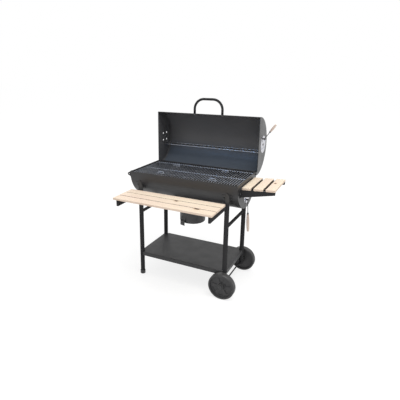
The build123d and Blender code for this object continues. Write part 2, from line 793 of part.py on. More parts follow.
# Lid, drawn shut and then swung open
handle_foot_y = -sqrt(barrel_radius**2 - handle_above_rim**2)
handle_z = lid_middle_height + handle_above_rim
lid_shell = along_x(half_ring(barrel_radius, bowl_inside, lid_middle_height, True), -lid_end, lid_end)
handle_screw_places = [(side * handle_spacing / 2, handle_foot_y, handle_z) for side in (-1, 1)]
screw_seat_y = -sqrt(bowl_inside**2 - (handle_above_rim + bolt_head_radius) ** 2)
for x, y, z in handle_screw_places:
    lid_shell -= rod((x, y - 5, z), (x, y + 10, z), bolt_radius + bolt_clearance)
save("lid_shell", opened(lid_shell))

ear_top = lid_middle_height + 2 * ear_radius
ear_outline = Pos(pivot_y, pivot_z) * Circle(ear_radius)
ear_outline += Pos(pivot_y, (pivot_z + ear_top) / 2) * Rectangle(2 * ear_radius, ear_top - pivot_z)
ear_outline = ear_outline & Pos(0, lid_middle_height) * Circle(bowl_inside)
lid_vent = (0, lid_middle_height + lid_vent_depth)
lid_names = (("lid_left_end", -1), ("lid_right_end", 1))
rack_pin_place = (rack_below_middle, lid_middle_height + barrel_radius - rack_set_in)
rack_pins = []
lid_rivets = []
for name, side in lid_names:
    end = dished_end(side * lid_end, side, lid_middle_height, True)
    low, high = sorted((side * lid_end, side * (lid_end - sheet)))
    end += along_x(ear_outline, low, high)
    end -= on_pivot(side * (lid_end - 10), side * (lid_end + 5), pivot_bolt_radius + running_clearance)
    for cut in vent_cuts(side * lid_end, *lid_vent):
        end -= cut
    save(name, opened(end))
    pin_root = side * (lid_end - sheet)
    pin_tip = pin_root - side * (rack_end_gap + rack_hanger_sheet + 3)
    rack_pins.append(opened(rod((pin_root, *rack_pin_place), (pin_tip, *rack_pin_place), rack_pin_radius)))
    lid_rivets.append(opened(vent_rivet(side * lid_end, side, *lid_vent)))
save("rack_pins", group(*rack_pins))
save("lid_vent_rivets", group(*lid_rivets))
save("bowl_vent_rivet", vent_rivet(bowl_end, 1, 0, vent_middle))

# Lid handle and its screws
reach_y = handle_foot_y - handle_reach
half = handle_spacing / 2
handle_path = FilletPolyline(
    (-half, handle_foot_y + 10, handle_z), (-half, reach_y, handle_z),
    (half, reach_y, handle_z), (half, handle_foot_y + 10, handle_z), radius=handle_bend,
)
outer_section = Plane(origin=handle_path @ 0, z_dir=handle_path % 0) * Circle(handle_tube_radius)
handle = sweep(outer_section, path=handle_path)
bore_path = FilletPolyline(
    (-half, handle_foot_y - handle_plug, handle_z), (-half, reach_y, handle_z),
    (half, reach_y, handle_z), (half, handle_foot_y - handle_plug, handle_z), radius=handle_bend,
)
inner_section = Plane(origin=bore_path @ 0, z_dir=bore_path % 0) * Circle(handle_tube_radius - handle_wall)
handle -= sweep(inner_section, path=bore_path)
handle -= along_x(Pos(0, lid_middle_height) * Circle(barrel_radius), -bowl_length, bowl_length)
handle_screws = []
for x, y, z in handle_screw_places:
    tip = y - handle_plug + 6
    handle -= rod((x, tip, z), (x, y + 10, z), bolt_radius)
    shank = rod((x, tip, z), (x, screw_seat_y, z), bolt_radius)
    head = rod((x, screw_seat_y, z), (x, screw_seat_y + bolt_head_height, z), bolt_head_radius)
    handle_screws.append(opened(shank + head))
save("lid_handle", opened(handle))
save("handle_screws", group(*handle_screws))

# Lid pivots and stops
pivot_bolts = []
pivot_spacers = []
for side in (-1, 1):
    head = side * (lid_end + slip_gap)
    tail = side * (bowl_end - sheet)
    thick = side * bolt_head_height
    pivot_bolt = on_pivot(tail - thick, head, pivot_bolt_radius)
    pivot_bolt += on_pivot(head, head + thick, pivot_head_radius, hexagon)
    pivot_bolt += on_pivot(tail, tail - thick, pivot_head_radius, hexagon)
    pivot_bolts.append(pivot_bolt)
    near = side * bowl_end
    far = side * (lid_end - sheet - slip_gap)
    spacer = on_pivot(near, far, pivot_spacer_radius)
    pivot_spacers.append(spacer - on_pivot(near, far, pivot_bolt_radius))
save("pivot_bolts", group(*pivot_bolts))
save("pivot_spacers", group(*pivot_spacers))
lid_edge_z = open_point(barrel_radius, lid_middle_height)[1]
stop_top = lid_edge_z - thin_gap
stop_low = stop_bolt_height - bolt_head_radius - 3
stop_band = Pos(barrel_radius, (stop_top + stop_low) / 2) * Rectangle(barrel_radius, stop_top - stop_low)
stop_outline = half_ring(barrel_radius + ledge_sheet, barrel_radius, rim_height, False) & stop_band
stop_root = sqrt(barrel_radius**2 - (rim_height - stop_top) ** 2)
stop_shelf = Rectangle(stop_ledge, ledge_sheet)
stop_shelf = Pos(stop_root + stop_ledge / 2, stop_top - ledge_sheet / 2) * stop_shelf
stop_outline += stop_shelf - Pos(0, rim_height) * Circle(barrel_radius)
stops = []
for side in (-1, 1):
    stop = along_x(stop_outline, side * stop_place - stop_width / 2, side * stop_place + stop_width / 2)
    for seat, into in stop_bolts:
        stop -= bolt_hole(seat, into, stop_grip)
    stops.append(stop)
save("lid_stops", group(*stops))
plate_bolts += [bolt(seat, into, stop_grip) for seat, into in stop_bolts]

# Warming rack, hung level in the open lid
pin_y, pin_z = open_point(*rack_pin_place)
hanger_face = lid_end - sheet - rack_end_gap
hanger_back = hanger_face - rack_hanger_sheet
rod_z = pin_z - rack_hang
hanger_outline = Pos(pin_y, pin_z) * Circle(rack_pin_radius + 5)
foot_half = rack_depth / 2 + rack_rod_radius + 1
hanger_outline += polygon(
    (pin_y - rack_pin_radius - 5, pin_z), (pin_y + rack_pin_radius + 5, pin_z),
    (pin_y + foot_half, rod_z + 3), (pin_y + foot_half, rod_z - 4),
    (pin_y - foot_half, rod_z - 4), (pin_y - foot_half, rod_z + 3),
)
rack_pieces = []
for side in (-1, 1):
    low, high = sorted((side * hanger_face, side * hanger_back))
    hanger = along_x(hanger_outline, low, high)
    hanger -= rod((low - 1, pin_y, pin_z), (high + 1, pin_y, pin_z), rack_pin_radius + running_clearance)
    rack_pieces.append(hanger)
for side in (-1, 1):
    y = pin_y + side * rack_depth / 2
    rack_pieces.append(rod((-hanger_back - 1, y, rod_z), (hanger_back + 1, y, rod_z), rack_rod_radius))
rack_count = int(2 * (hanger_back - 6) / rack_pitch) + 1
for index in range(rack_count):
    x = (index - (rack_count - 1) / 2) * rack_pitch
    wire_ends = [(x, pin_y + side * rack_depth / 2, rod_z) for side in (-1, 1)]
    rack_pieces.append(rod(*wire_ends, rack_wire_radius))
save("warming_rack", fused(rack_pieces))

# Vent dampers, knobs, levers and grips
vent_y, vent_z = open_point(*lid_vent)
disc_face = slip_gap + vent_sheet


def lever(origin, up, tip, grip_length, grip_radius):
    """The wire lever and grip of a damper, from its disc's middle and the way that it points."""
    x, y, z = origin
    foot = (x + knob_height * 0.5, y, z + up * knob_place)
    end = (x + tip[0], y, z + up * tip[1])
    along = Vector(*end) - Vector(*foot)
    start = Vector(*foot) + along * (1 - grip_length / along.length)
    direction = along.normalized()
    wire = rod(foot, tuple(start + direction * 4), lever_radius)
    ferrule = rod(tuple(start - direction * ferrule_length), tuple(start), ferrule_radius)
    stem = knob((x, y, z + up * knob_place), 1)
    grip = turned_grip(tuple(start), end, grip_radius)
    grip -= rod(foot, tuple(start + direction * 4), lever_radius)
    return stem + wire + ferrule, grip


save("lid_left_damper", vent_disc(-lid_end, -1, vent_y, vent_z))
save("lid_left_knob", knob((-lid_end - disc_face, vent_y, vent_z + knob_place), -1))
save("lid_right_damper", vent_disc(lid_end, 1, vent_y, vent_z))
lid_disc_middle = (lid_end + disc_face, vent_y, vent_z)
lid_lever, lid_grip = lever(lid_disc_middle, 1, lid_lever_tip, lid_grip_length, lid_grip_radius)
save("lid_right_lever", lid_lever)
save("lid_right_grip", lid_grip)
save("bowl_right_damper", vent_disc(bowl_end, 1, 0, vent_middle))
bowl_disc_middle = (bowl_end + disc_face, 0, vent_middle)
bowl_lever, bowl_grip = lever(bowl_disc_middle, -1, bowl_lever_tip, bowl_grip_length, bowl_grip_radius)
save("bowl_right_lever", bowl_lever)
save("bowl_right_grip", bowl_grip)

# Corner hook on the bowl's left end: a folded ear with a round eye
hook_y0 = hook_bolt_y - bolt_head_radius - hook_sheet - 1
hook_y1 = hook_bolt_y + bolt_head_radius + 4
hook_face = -bowl_end - hook_sheet
hook_low = rim_height - hook_height
eye_x = -bowl_end - hook_reach + hook_round
eye_z = rim_height - hook_height / 2
hook = polygon(
    (-bowl_end, rim_height), (eye_x, eye_z + hook_round),
    (eye_x, eye_z - hook_round), (-bowl_end, hook_low),
)
hook += Pos(eye_x, eye_z) * Circle(hook_round)
hook = along_y(hook - Pos(eye_x, eye_z) * Circle(hook_eye_radius), hook_y0, hook_y0 + hook_sheet)
hook += block(hook_face, -bowl_end, hook_y0, hook_y1, hook_low, rim_height)
hook_seat = (hook_face, hook_bolt_y, hook_bolt_z)
hook -= bolt_hole(hook_seat, (1, 0, 0), hook_sheet)
save("corner_hook", hook)
plate_bolts.append(bolt(hook_seat, (1, 0, 0), hook_sheet + sheet))
save("plate_bolts", group(*plate_bolts))
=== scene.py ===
"""Dresses the barrel charcoal grill and sets it in a pale studio, in metres."""

import logging
import math
from collections.abc import Iterable, Sequence
from dataclasses import dataclass
from enum import Enum
from typing import Any

import bmesh
import bpy
from mathutils import Matrix, Vector


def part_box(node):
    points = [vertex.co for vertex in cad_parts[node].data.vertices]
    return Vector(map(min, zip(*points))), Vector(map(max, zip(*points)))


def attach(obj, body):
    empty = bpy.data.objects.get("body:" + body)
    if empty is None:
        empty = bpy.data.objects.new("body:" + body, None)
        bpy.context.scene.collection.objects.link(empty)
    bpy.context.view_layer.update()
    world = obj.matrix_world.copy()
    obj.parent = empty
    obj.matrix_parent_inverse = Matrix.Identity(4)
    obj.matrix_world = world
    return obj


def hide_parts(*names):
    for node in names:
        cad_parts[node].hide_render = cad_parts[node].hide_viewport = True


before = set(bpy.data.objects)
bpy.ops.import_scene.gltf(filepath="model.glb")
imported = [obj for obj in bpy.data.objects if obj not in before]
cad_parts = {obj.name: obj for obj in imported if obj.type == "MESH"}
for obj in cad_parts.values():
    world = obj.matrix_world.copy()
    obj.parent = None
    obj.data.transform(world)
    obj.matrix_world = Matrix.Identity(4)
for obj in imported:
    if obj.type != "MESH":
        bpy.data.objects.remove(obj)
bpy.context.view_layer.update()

LOG = logging.getLogger("barrel_grill")
MIDDLE_AXES = ("Middle X", "Middle Y", "Middle Z")
FRONT_LEGS = ("front_left_leg", "front_right_leg")
LEGS = (*FRONT_LEGS, "rear_left_leg", "rear_right_leg")
WHITE = (1.0, 1.0, 1.0, 1.0)

Pair = tuple[float, float]
Quad = tuple[float, float, float, float]
Colour = tuple[float, float, float]
Point = tuple[float, float, float]
Setting = Any
Socket = bpy.types.NodeSocket
Tree = bpy.types.NodeTree
WorkMesh = bmesh.types.BMesh


class Effect(Enum):
    """The surface effects that several finishes share."""

    SMUDGE = "handling_smudge"
    PEEL = "paint_peel"
    DUST = "settled_dust"
    EDGE = "edge_wear"
    GRAIN = "pine_grain"
    KNOT = "pine_knot"
    CREVICE = "gap_shade"
    INSIDE = "barrel_inside"


class GrainAxis(Enum):
    """The way that a wooden piece's grain runs, as an order of its axes with the grain first."""

    ALONG_X = ("X", "Y", "Z")
    ALONG_Y = ("Y", "X", "Z")
    ALONG_Z = ("Z", "X", "Y")


class Wiring:
    """Adds nodes to one node tree and joins their sockets."""

    def __init__(self, tree: Tree) -> None:
        """Keeps the tree that the nodes go into."""
        self.tree = tree

    def add(
        self, kind: str, inputs: dict[str | int, Setting] | None = None, **settings: Setting
    ) -> Any:
        """Adds one node.

        Args:
            kind: The node's type name.
            inputs: Values, or sockets to join, for the node's inputs by name or number.
            settings: The node's own properties.

        Returns:
            The new node.
        """
        node = self.tree.nodes.new(kind)
        for name, value in settings.items():
            setattr(node, name, value)
        for key, value in (inputs or {}).items():
            self.feed(node.inputs[key], value)
        return node

    def feed(self, socket: Socket, value: Setting) -> None:
        """Joins a socket to another socket, or sets its value."""
        if isinstance(value, Socket):
            self.tree.links.new(value, socket)
        else:
            socket.default_value = value

    def math(self, operation: str, *values: Setting, clamp: bool = False) -> Socket:
        """Adds a Math node and returns its result."""
        inputs = dict(enumerate(values))
        return self.add("ShaderNodeMath", inputs, operation=operation, use_clamp=clamp).outputs[0]

    def product(self, first: Setting, *others: Setting) -> Any:
        """Multiplies values by one another, in order, and returns the result."""
        for other in others:
            first = self.math("MULTIPLY", first, other)
        return first

    def vector(self, operation: str, first: Setting, second: Setting) -> Any:
        """Adds a Vector Math node and returns its outputs."""
        return self.add("ShaderNodeVectorMath", {0: first, 1: second}, operation=operation).outputs

    def span(
        self, value: Setting, low: float, high: float, to_low: Setting, to_high: Setting
    ) -> Any:
        """Maps one span of a value onto another, clamped, and returns the result."""
        ends = {0: value, 1: low, 2: high, 3: to_low, 4: to_high}
        return self.add("ShaderNodeMapRange", ends, interpolation_type="SMOOTHSTEP").outputs[0]

    def blend(self, mask: Setting, first: Setting, second: Setting) -> Socket:
        """Mixes two colours by a mask and returns the result."""
        node = self.add("ShaderNodeMix", data_type="RGBA")
        self.feed(node.inputs[0], mask)
        self.feed(node.inputs[6], first)
        self.feed(node.inputs[7], second)
        return node.outputs[2]

    def noise(
        self, vector: Setting, scale: Setting, detail: float = 2.0, seed: Setting = 0.0
    ) -> Any:
        """Adds a seeded noise and returns its value."""
        sockets = {"Vector": vector, "Scale": scale, "Detail": detail, "W": seed}
        return self.add("ShaderNodeTexNoise", sockets, noise_dimensions="4D").outputs[0]

    def stretched(self, vector: Setting, scale: Point) -> Socket:
        """Scales a vector along its own axes and returns it."""
        return self.vector("MULTIPLY", vector, scale)[0]

    def effect(self, tree: Tree, inputs: dict[str, Setting]) -> Any:
        """Places a shared effect with its own values."""
        node = self.tree.nodes.new("ShaderNodeGroup")
        node.node_tree = tree
        for name, value in inputs.items():
            self.feed(node.inputs[name], value)
        return node


class EffectLibrary:
    """Builds each shared effect once, as a shader node group.

    A span gives the low and the high end of what comes in, and where a patch has four numbers, of
    what goes out. A stretch scales a place along, across and through the grain.
    """

    HANDLED_SPAN = (0.34, 0.68)
    GRIT_FINER, GRIT_SEED = 3.7, 4.0
    LEVEL_SPAN = (0.35, 0.98)
    DUST_PATCHES = (0.3, 0.75, 0.25, 1.0)
    EDGE_SAMPLES = 4
    EDGE_SPAN = (0.01, 0.16)
    WEAR_AND_HIGHLIGHT_PATCHES = (0.38, 0.62, 0.15, 1.0)
    SWAY_STRETCH, SWAY_REACH = (2.2, 9.0, 9.0), 0.07
    SHAKE_STRETCH, SHAKE_REACH = (14.0, 60.0, 60.0), 0.004
    HEART_TURN, HEART_REACH = 7.3, 0.05
    DEEP_SWAY, DEEP_START = 0.05, 0.03
    RING_RISE, RING_FALL = 2.4, (0.9, 1.0)
    FIBRE_STRETCH = (9.0, 850.0, 850.0)
    TONE_STRETCH = (1.6, 14.0, 14.0)
    KNOT_LENGTH = 1.5
    RAGGED_SCALE, RAGGED_SHARE, RAGGED_START = 160.0, 0.7, 0.65
    CORE_SPAN, HALO_SPAN, PUSH_SPAN = (0.70, 1.05), (0.8, 2.0), (0.5, 5.0)
    GAP_SAMPLES = 8
    GAP_SPAN = (0.30, 0.85)
    # The patches that break up the painted shade in gaps.
    PAINTED_SHADE_PATCHES = (0.25, 0.6, 0.75, 1.0)
    INSIDE_SPAN = (0.0, 0.05)

    def __init__(self) -> None:
        """Starts with no effects built."""
        self._built: dict[Effect, Tree] = {}

    def get(self, effect: Effect) -> Tree:
        """Returns an effect's node group, building it when it is first asked for."""
        if effect not in self._built:
            makers = {
                Effect.SMUDGE: self._smudge,
                Effect.PEEL: self._peel,
                Effect.DUST: self._dust,
                Effect.EDGE: self._edge,
                Effect.GRAIN: self._grain,
                Effect.KNOT: self._knot,
                Effect.CREVICE: self._crevice,
                Effect.INSIDE: self._inside,
            }
            self._built[effect] = makers[effect](effect.value)
        return self._built[effect]

    @staticmethod
    def _group(name: str, inputs: Sequence[str], outputs: Sequence[str]) -> tuple[Wiring, Any, Any]:
        """Starts a node group whose first input is a place and whose other sockets are numbers.

        Args:
            name: The group's name.
            inputs: The names of its inputs after Place.
            outputs: The names of its outputs.

        Returns:
            The group's wiring, its input sockets and its output sockets.
        """
        tree = bpy.data.node_groups.new(name, "ShaderNodeTree")
        tree.interface.new_socket("Place", in_out="INPUT", socket_type="NodeSocketVector")
        for socket in inputs:
            tree.interface.new_socket(socket, in_out="INPUT", socket_type="NodeSocketFloat")
        for socket in outputs:
            tree.interface.new_socket(socket, in_out="OUTPUT", socket_type="NodeSocketFloat")
        wiring = Wiring(tree)
        return wiring, wiring.add("NodeGroupInput").outputs, wiring.add("NodeGroupOutput").inputs

    def _smudge(self, name: str) -> Tree:
        """Patches left by handling, between a low and a high value."""
        wiring, given, out = self._group(name, ("Scale", "Low", "High"), ("Value",))
        patches = wiring.noise(given["Place"], given["Scale"], detail=5.0)
        value = wiring.span(patches, *self.HANDLED_SPAN, given["Low"], given["High"])
        wiring.feed(out["Value"], value)
        return wiring.tree

    def _peel(self, name: str) -> Tree:
        """The fine orange-peel ripple of sprayed paint or moulded plastic."""
        wiring, given, out = self._group(name, ("Scale", "Grit"), ("Height",))
        ripple = wiring.noise(given["Place"], given["Scale"], detail=1.0)
        grit_scale = wiring.math("MULTIPLY", given["Scale"], self.GRIT_FINER)
        grit = wiring.noise(given["Place"], grit_scale, detail=3.0, seed=self.GRIT_SEED)
        wiring.feed(out["Height"], wiring.math("MULTIPLY_ADD", grit, given["Grit"], ripple))
        return wiring.tree

    def _dust(self, name: str) -> Tree:
        """Dust that settles unevenly on what faces up."""
        wiring, given, out = self._group(name, ("Scale", "Amount"), ("Mask",))
        facing = wiring.add("ShaderNodeNewGeometry").outputs["Normal"]
        height = wiring.add("ShaderNodeSeparateXYZ", {0: facing}).outputs["Z"]
        level = wiring.span(height, *self.LEVEL_SPAN, 0.0, 1.0)
        noise = wiring.noise(given["Place"], given["Scale"], detail=6.0)
        patches = wiring.span(noise, *self.DUST_PATCHES)
        wiring.feed(out["Mask"], wiring.product(level, patches, given["Amount"]))
        return wiring.tree

    def _edge(self, name: str) -> Tree:
        """Wear along sharp edges, which also paints a highlight there, broken up so that it comes
        and goes.
        """
        wiring, given, out = self._group(name, ("Radius", "Scale", "Amount"), ("Mask",))
        reach = {"Radius": given["Radius"]}
        rounded = wiring.add("ShaderNodeBevel", reach, samples=self.EDGE_SAMPLES).outputs[0]
        flat = wiring.add("ShaderNodeNewGeometry").outputs["Normal"]
        turn = wiring.vector("DOT_PRODUCT", rounded, flat)["Value"]
        edge = wiring.span(wiring.math("SUBTRACT", 1.0, turn), *self.EDGE_SPAN, 0.0, 1.0)
        noise = wiring.noise(given["Place"], given["Scale"], detail=4.0)
        broken = wiring.span(noise, *self.WEAR_AND_HIGHLIGHT_PATCHES)
        wiring.feed(out["Mask"], wiring.product(edge, broken, given["Amount"]))
        return wiring.tree

    def _grain(self, name: str) -> Tree:
        """Pine's growth rings and fibres on a place whose X runs along the grain."""
        wiring, given, out = self._group(name, ("Seed", "Ring", "Pull"), ("Late", "Fibre", "Tone"))
        place, seed = given["Place"], given["Seed"]
        sway = wiring.noise(wiring.stretched(place, self.SWAY_STRETCH), 1.0, 2.0, seed)
        shake = wiring.noise(wiring.stretched(place, self.SHAKE_STRETCH), 1.0, 2.0, seed)
        parts = wiring.add("ShaderNodeSeparateXYZ", {0: place}).outputs
        turn = wiring.math("SINE", wiring.math("MULTIPLY", seed, self.HEART_TURN))
        heart = wiring.math("MULTIPLY", turn, self.HEART_REACH)
        across = wiring.math("ADD", wiring.math("SUBTRACT", parts["Y"], heart), given["Pull"])
        across = wiring.math("MULTIPLY_ADD", sway, self.SWAY_REACH, across)
        across = wiring.math("MULTIPLY_ADD", shake, self.SHAKE_REACH, across)
        deep = wiring.math("MULTIPLY_ADD", sway, self.DEEP_SWAY, self.DEEP_START)
        depth = wiring.math("POWER", deep, 2.0)
        radius = wiring.math("SQRT", wiring.math("MULTIPLY_ADD", across, across, depth))
        ring = wiring.math("FRACT", wiring.math("DIVIDE", radius, given["Ring"]))
        rise = wiring.math("POWER", ring, self.RING_RISE)
        fall = wiring.span(ring, *self.RING_FALL, 1.0, 0.0)
        wiring.feed(out["Late"], wiring.math("MULTIPLY", rise, fall))
        fibres = wiring.stretched(place, self.FIBRE_STRETCH)
        wiring.feed(out["Fibre"], wiring.noise(fibres, 1.0, 3.0, seed))
        tones = wiring.stretched(place, self.TONE_STRETCH)
        wiring.feed(out["Tone"], wiring.noise(tones, 1.0, 2.0, seed))
        return wiring.tree

    def _knot(self, name: str) -> Tree:
        """One knot: its dark core, the tinted wood round it and how it pulls the grain aside."""
        inputs, outputs = ("Along", "Across", "Radius"), ("Core", "Halo", "Pull")
        wiring, given, out = self._group(name, inputs, outputs)
        parts = wiring.add("ShaderNodeSeparateXYZ", {0: given["Place"]}).outputs
        along = wiring.math("SUBTRACT", parts["X"], given["Along"])
        along = wiring.math("DIVIDE", along, self.KNOT_LENGTH)
        across = wiring.math("SUBTRACT", parts["Y"], given["Across"])
        squares = wiring.math("MULTIPLY_ADD", across, across, wiring.math("MULTIPLY", along, along))
        noise = wiring.noise(given["Place"], self.RAGGED_SCALE)
        ragged = wiring.math("MULTIPLY_ADD", noise, self.RAGGED_SHARE, self.RAGGED_START)
        size = wiring.math("MULTIPLY", given["Radius"], ragged)
        reach = wiring.math("DIVIDE", wiring.math("SQRT", squares), size)
        wiring.feed(out["Core"], wiring.span(reach, *self.CORE_SPAN, 1.0, 0.0))
        wiring.feed(out["Halo"], wiring.span(reach, *self.HALO_SPAN, 1.0, 0.0))
        push = wiring.span(reach, *self.PUSH_SPAN, 1.0, 0.0)
        push = wiring.math("MULTIPLY", push, given["Radius"])
        side = wiring.math("SIGN", across)
        wiring.feed(out["Pull"], wiring.math("MULTIPLY", push, side))
        return wiring.tree

    def _crevice(self, name: str) -> Tree:
        """Painted shade: darkens where two faces stand close together, by ambient occlusion broken
        into patches.
        """
        wiring, given, out = self._group(name, ("Reach", "Scale", "Amount"), ("Mask",))
        reach = {"Distance": given["Reach"]}
        sky = wiring.add("ShaderNodeAmbientOcclusion", reach, samples=self.GAP_SAMPLES)
        closed = wiring.span(sky.outputs["AO"], *self.GAP_SPAN, 1.0, 0.0)
        noise = wiring.noise(given["Place"], given["Scale"], detail=3.0)
        patches = wiring.span(noise, *self.PAINTED_SHADE_PATCHES)
        wiring.feed(out["Mask"], wiring.product(closed, patches, given["Amount"]))
        return wiring.tree

    def _inside(self, name: str) -> Tree:
        """Marks the faces of a barrel that look at its middle, and how far they are above it."""
        wiring, given, out = self._group(name, MIDDLE_AXES, ("Mask", "Rise"))
        parts = {index: given[axis] for index, axis in enumerate(MIDDLE_AXES)}
        middle = wiring.add("ShaderNodeCombineXYZ", parts).outputs[0]
        inward = wiring.vector("SUBTRACT", middle, given["Place"])[0]
        facing = wiring.add("ShaderNodeTexCoord").outputs["Normal"]
        turn = wiring.vector("DOT_PRODUCT", inward, facing)["Value"]
        wiring.feed(out["Mask"], wiring.span(turn, *self.INSIDE_SPAN, 0.0, 1.0))
        drop = wiring.add("ShaderNodeSeparateXYZ", {0: inward}).outputs["Z"]
        wiring.feed(out["Rise"], wiring.math("MULTIPLY", drop, -1.0))
        return wiring.tree


EFFECTS = EffectLibrary()


@dataclass(frozen=True)
class Finish:
    """A surface finish that becomes one material.

    In the finishes, a relief is a bump's strength and depth, wear (which also paints an edge
    highlight) is its radius, scale and amount, patches are their scale and two values, and a
    texture is its scale and grit.
    """

    name: str
    slot: str

    def material(self) -> bpy.types.Material:
        """Makes the finish's material.

        Returns:
            The material, which is made once and then shared.
        """
        known = bpy.data.materials.get(self.name)
        if known:
            return known
        material = bpy.data.materials.new(self.name)
        material.use_nodes = True
        wiring = Wiring(material.node_tree)
        shader = material.node_tree.nodes["Principled BSDF"]
        place = wiring.add("ShaderNodeTexCoord").outputs["Object"]
        self.paint(wiring, shader.inputs, place)
        return material

    def paint(self, wiring: Wiring, shader: Any, place: Socket) -> None:
        """Wires the finish into its shader's inputs; each finish has its own."""
        raise NotImplementedError

    @staticmethod
    def shared(wiring: Wiring, effect: Effect, place: Setting, values: dict[str, Setting]) -> Any:
        """Places a shared effect.

        Args:
            wiring: The material's wiring.
            effect: The effect.
            place: The place on the surface that the effect works from.
            values: The effect's other inputs.

        Returns:
            The effect's outputs.
        """
        return wiring.effect(EFFECTS.get(effect), {"Place": place, **values}).outputs

    @classmethod
    def smudge(cls, wiring: Wiring, place: Setting, scale: float, low: float, high: float) -> Any:
        """Places handling patches between two values and returns their value."""
        values = {"Scale": scale, "Low": low, "High": high}
        return cls.shared(wiring, Effect.SMUDGE, place, values)["Value"]

    @classmethod
    def edge(
        cls, wiring: Wiring, place: Setting, radius: float, scale: float, amount: float
    ) -> Any:
        """Places edge wear, which also paints a highlight, and returns its mask."""
        values = {"Radius": radius, "Scale": scale, "Amount": amount}
        return cls.shared(wiring, Effect.EDGE, place, values)["Mask"]

    @classmethod
    def dust_on(cls, wiring: Wiring, place: Setting, scale: float, amount: float) -> Any:
        """Places settled dust and returns its mask."""
        return cls.shared(wiring, Effect.DUST, place, {"Scale": scale, "Amount": amount})["Mask"]

    @classmethod
    def peel(cls, wiring: Wiring, place: Setting, scale: float, grit: float) -> Any:
        """Places a paint ripple and returns its height."""
        return cls.shared(wiring, Effect.PEEL, place, {"Scale": scale, "Grit": grit})["Height"]

    @staticmethod
    def bump(wiring: Wiring, height: Setting, strength: float, depth: float) -> Socket:
        """Adds a bump of a depth in metres and returns the bent normal."""
        sockets = {"Height": height, "Strength": strength, "Distance": depth}
        return wiring.add("ShaderNodeBump", sockets).outputs[0]


def rgba(colour: Colour) -> Quad:
    """Adds full opacity to a colour."""
    return (*colour, 1.0)


@dataclass(frozen=True)
class HeatPaint(Finish):
    """Sprayed black paint with a slight ripple, dust on top and thin wear at its edges that also
    paints a highlight there.

    A barrel's inside is painted paler above its middle as painted light, and darker and bluish
    below it as painted shade and a painted blue reflection.
    """

    colour: Colour = (0.030, 0.030, 0.032)
    # A paler grey for the edges, where it is wear and a painted highlight.
    worn_and_highlit: Colour = (0.085, 0.085, 0.088)
    dusty: Colour = (0.20, 0.195, 0.185)
    rough: Pair = (0.36, 0.46)
    ripple: float = 420.0
    grit: float = 0.25
    relief: Pair = (0.10, 0.0004)
    dust: float = 0.05
    dust_scale: float = 16.0
    wear: float = 0.30
    wear_and_highlight_size: Pair = (0.0009, 55.0)
    smudge_scale: float = 11.0
    gloss: float = 0.5
    paler_above: float | None = None
    paler_reach: float = 0.03
    middle: Point | None = None
    inner: Colour = (0.125, 0.125, 0.130)
    # Painted light and shade inside a barrel: inner is the paler colour above the middle, and the
    # bluish colour below it is painted shade with a painted blue reflection.
    inside_shade_and_reflection: Colour = (0.072, 0.088, 0.112)
    inside_shade_rise: Pair = (-0.13, -0.01)

    def paint(self, wiring: Wiring, shader: Any, place: Socket) -> None:
        """Wires paint, dust, edges that are worn and painted as highlights, and the painted light
        and shade inside a barrel.
        """
        dust = self.dust_on(wiring, place, self.dust_scale, self.dust)
        edge = self.edge(wiring, place, *self.wear_and_highlight_size, self.wear)
        smudge = self.smudge(wiring, place, self.smudge_scale, *self.rough)
        ripple = self.peel(wiring, place, self.ripple, self.grit)
        shader["Specular IOR Level"].default_value = self.gloss
        colour: Setting = rgba(self.colour)
        # Above a set height the paint blends into the paler grey.
        if self.paler_above:
            height = wiring.add("ShaderNodeSeparateXYZ", {0: place}).outputs["Z"]
            upper = wiring.span(height, self.paler_above, self.paler_above + self.paler_reach, 0.0, 1.0)
            colour = wiring.blend(upper, colour, rgba(self.worn_and_highlit))
        # Painted light and shade: faces that look at the middle are paler above it and darker and
        # bluish below it, standing in for light, shade and a blue reflection.
        if self.middle:
            values = dict(zip(MIDDLE_AXES, self.middle))
            inside = self.shared(wiring, Effect.INSIDE, place, values)
            upper = wiring.span(inside["Rise"], *self.inside_shade_rise, 0.0, 1.0)
            painted_inside = wiring.blend(upper, rgba(self.inside_shade_and_reflection), rgba(self.inner))
            colour = wiring.blend(inside["Mask"], colour, painted_inside)
        # Edges turn paler: wear, and a painted highlight along them.
        colour = wiring.blend(edge, colour, rgba(self.worn_and_highlit))
        colour = wiring.blend(dust, colour, rgba(self.dusty))
        wiring.feed(shader["Base Color"], colour)
        wiring.feed(shader["Roughness"], wiring.math("ADD", smudge, dust, clamp=True))
        wiring.feed(shader["Normal"], self.bump(wiring, ripple, *self.relief))


@dataclass(frozen=True)
class Knot:
    """One knot of a board: its place along and across the grain, and its size."""

    along: float
    across: float
    radius: float


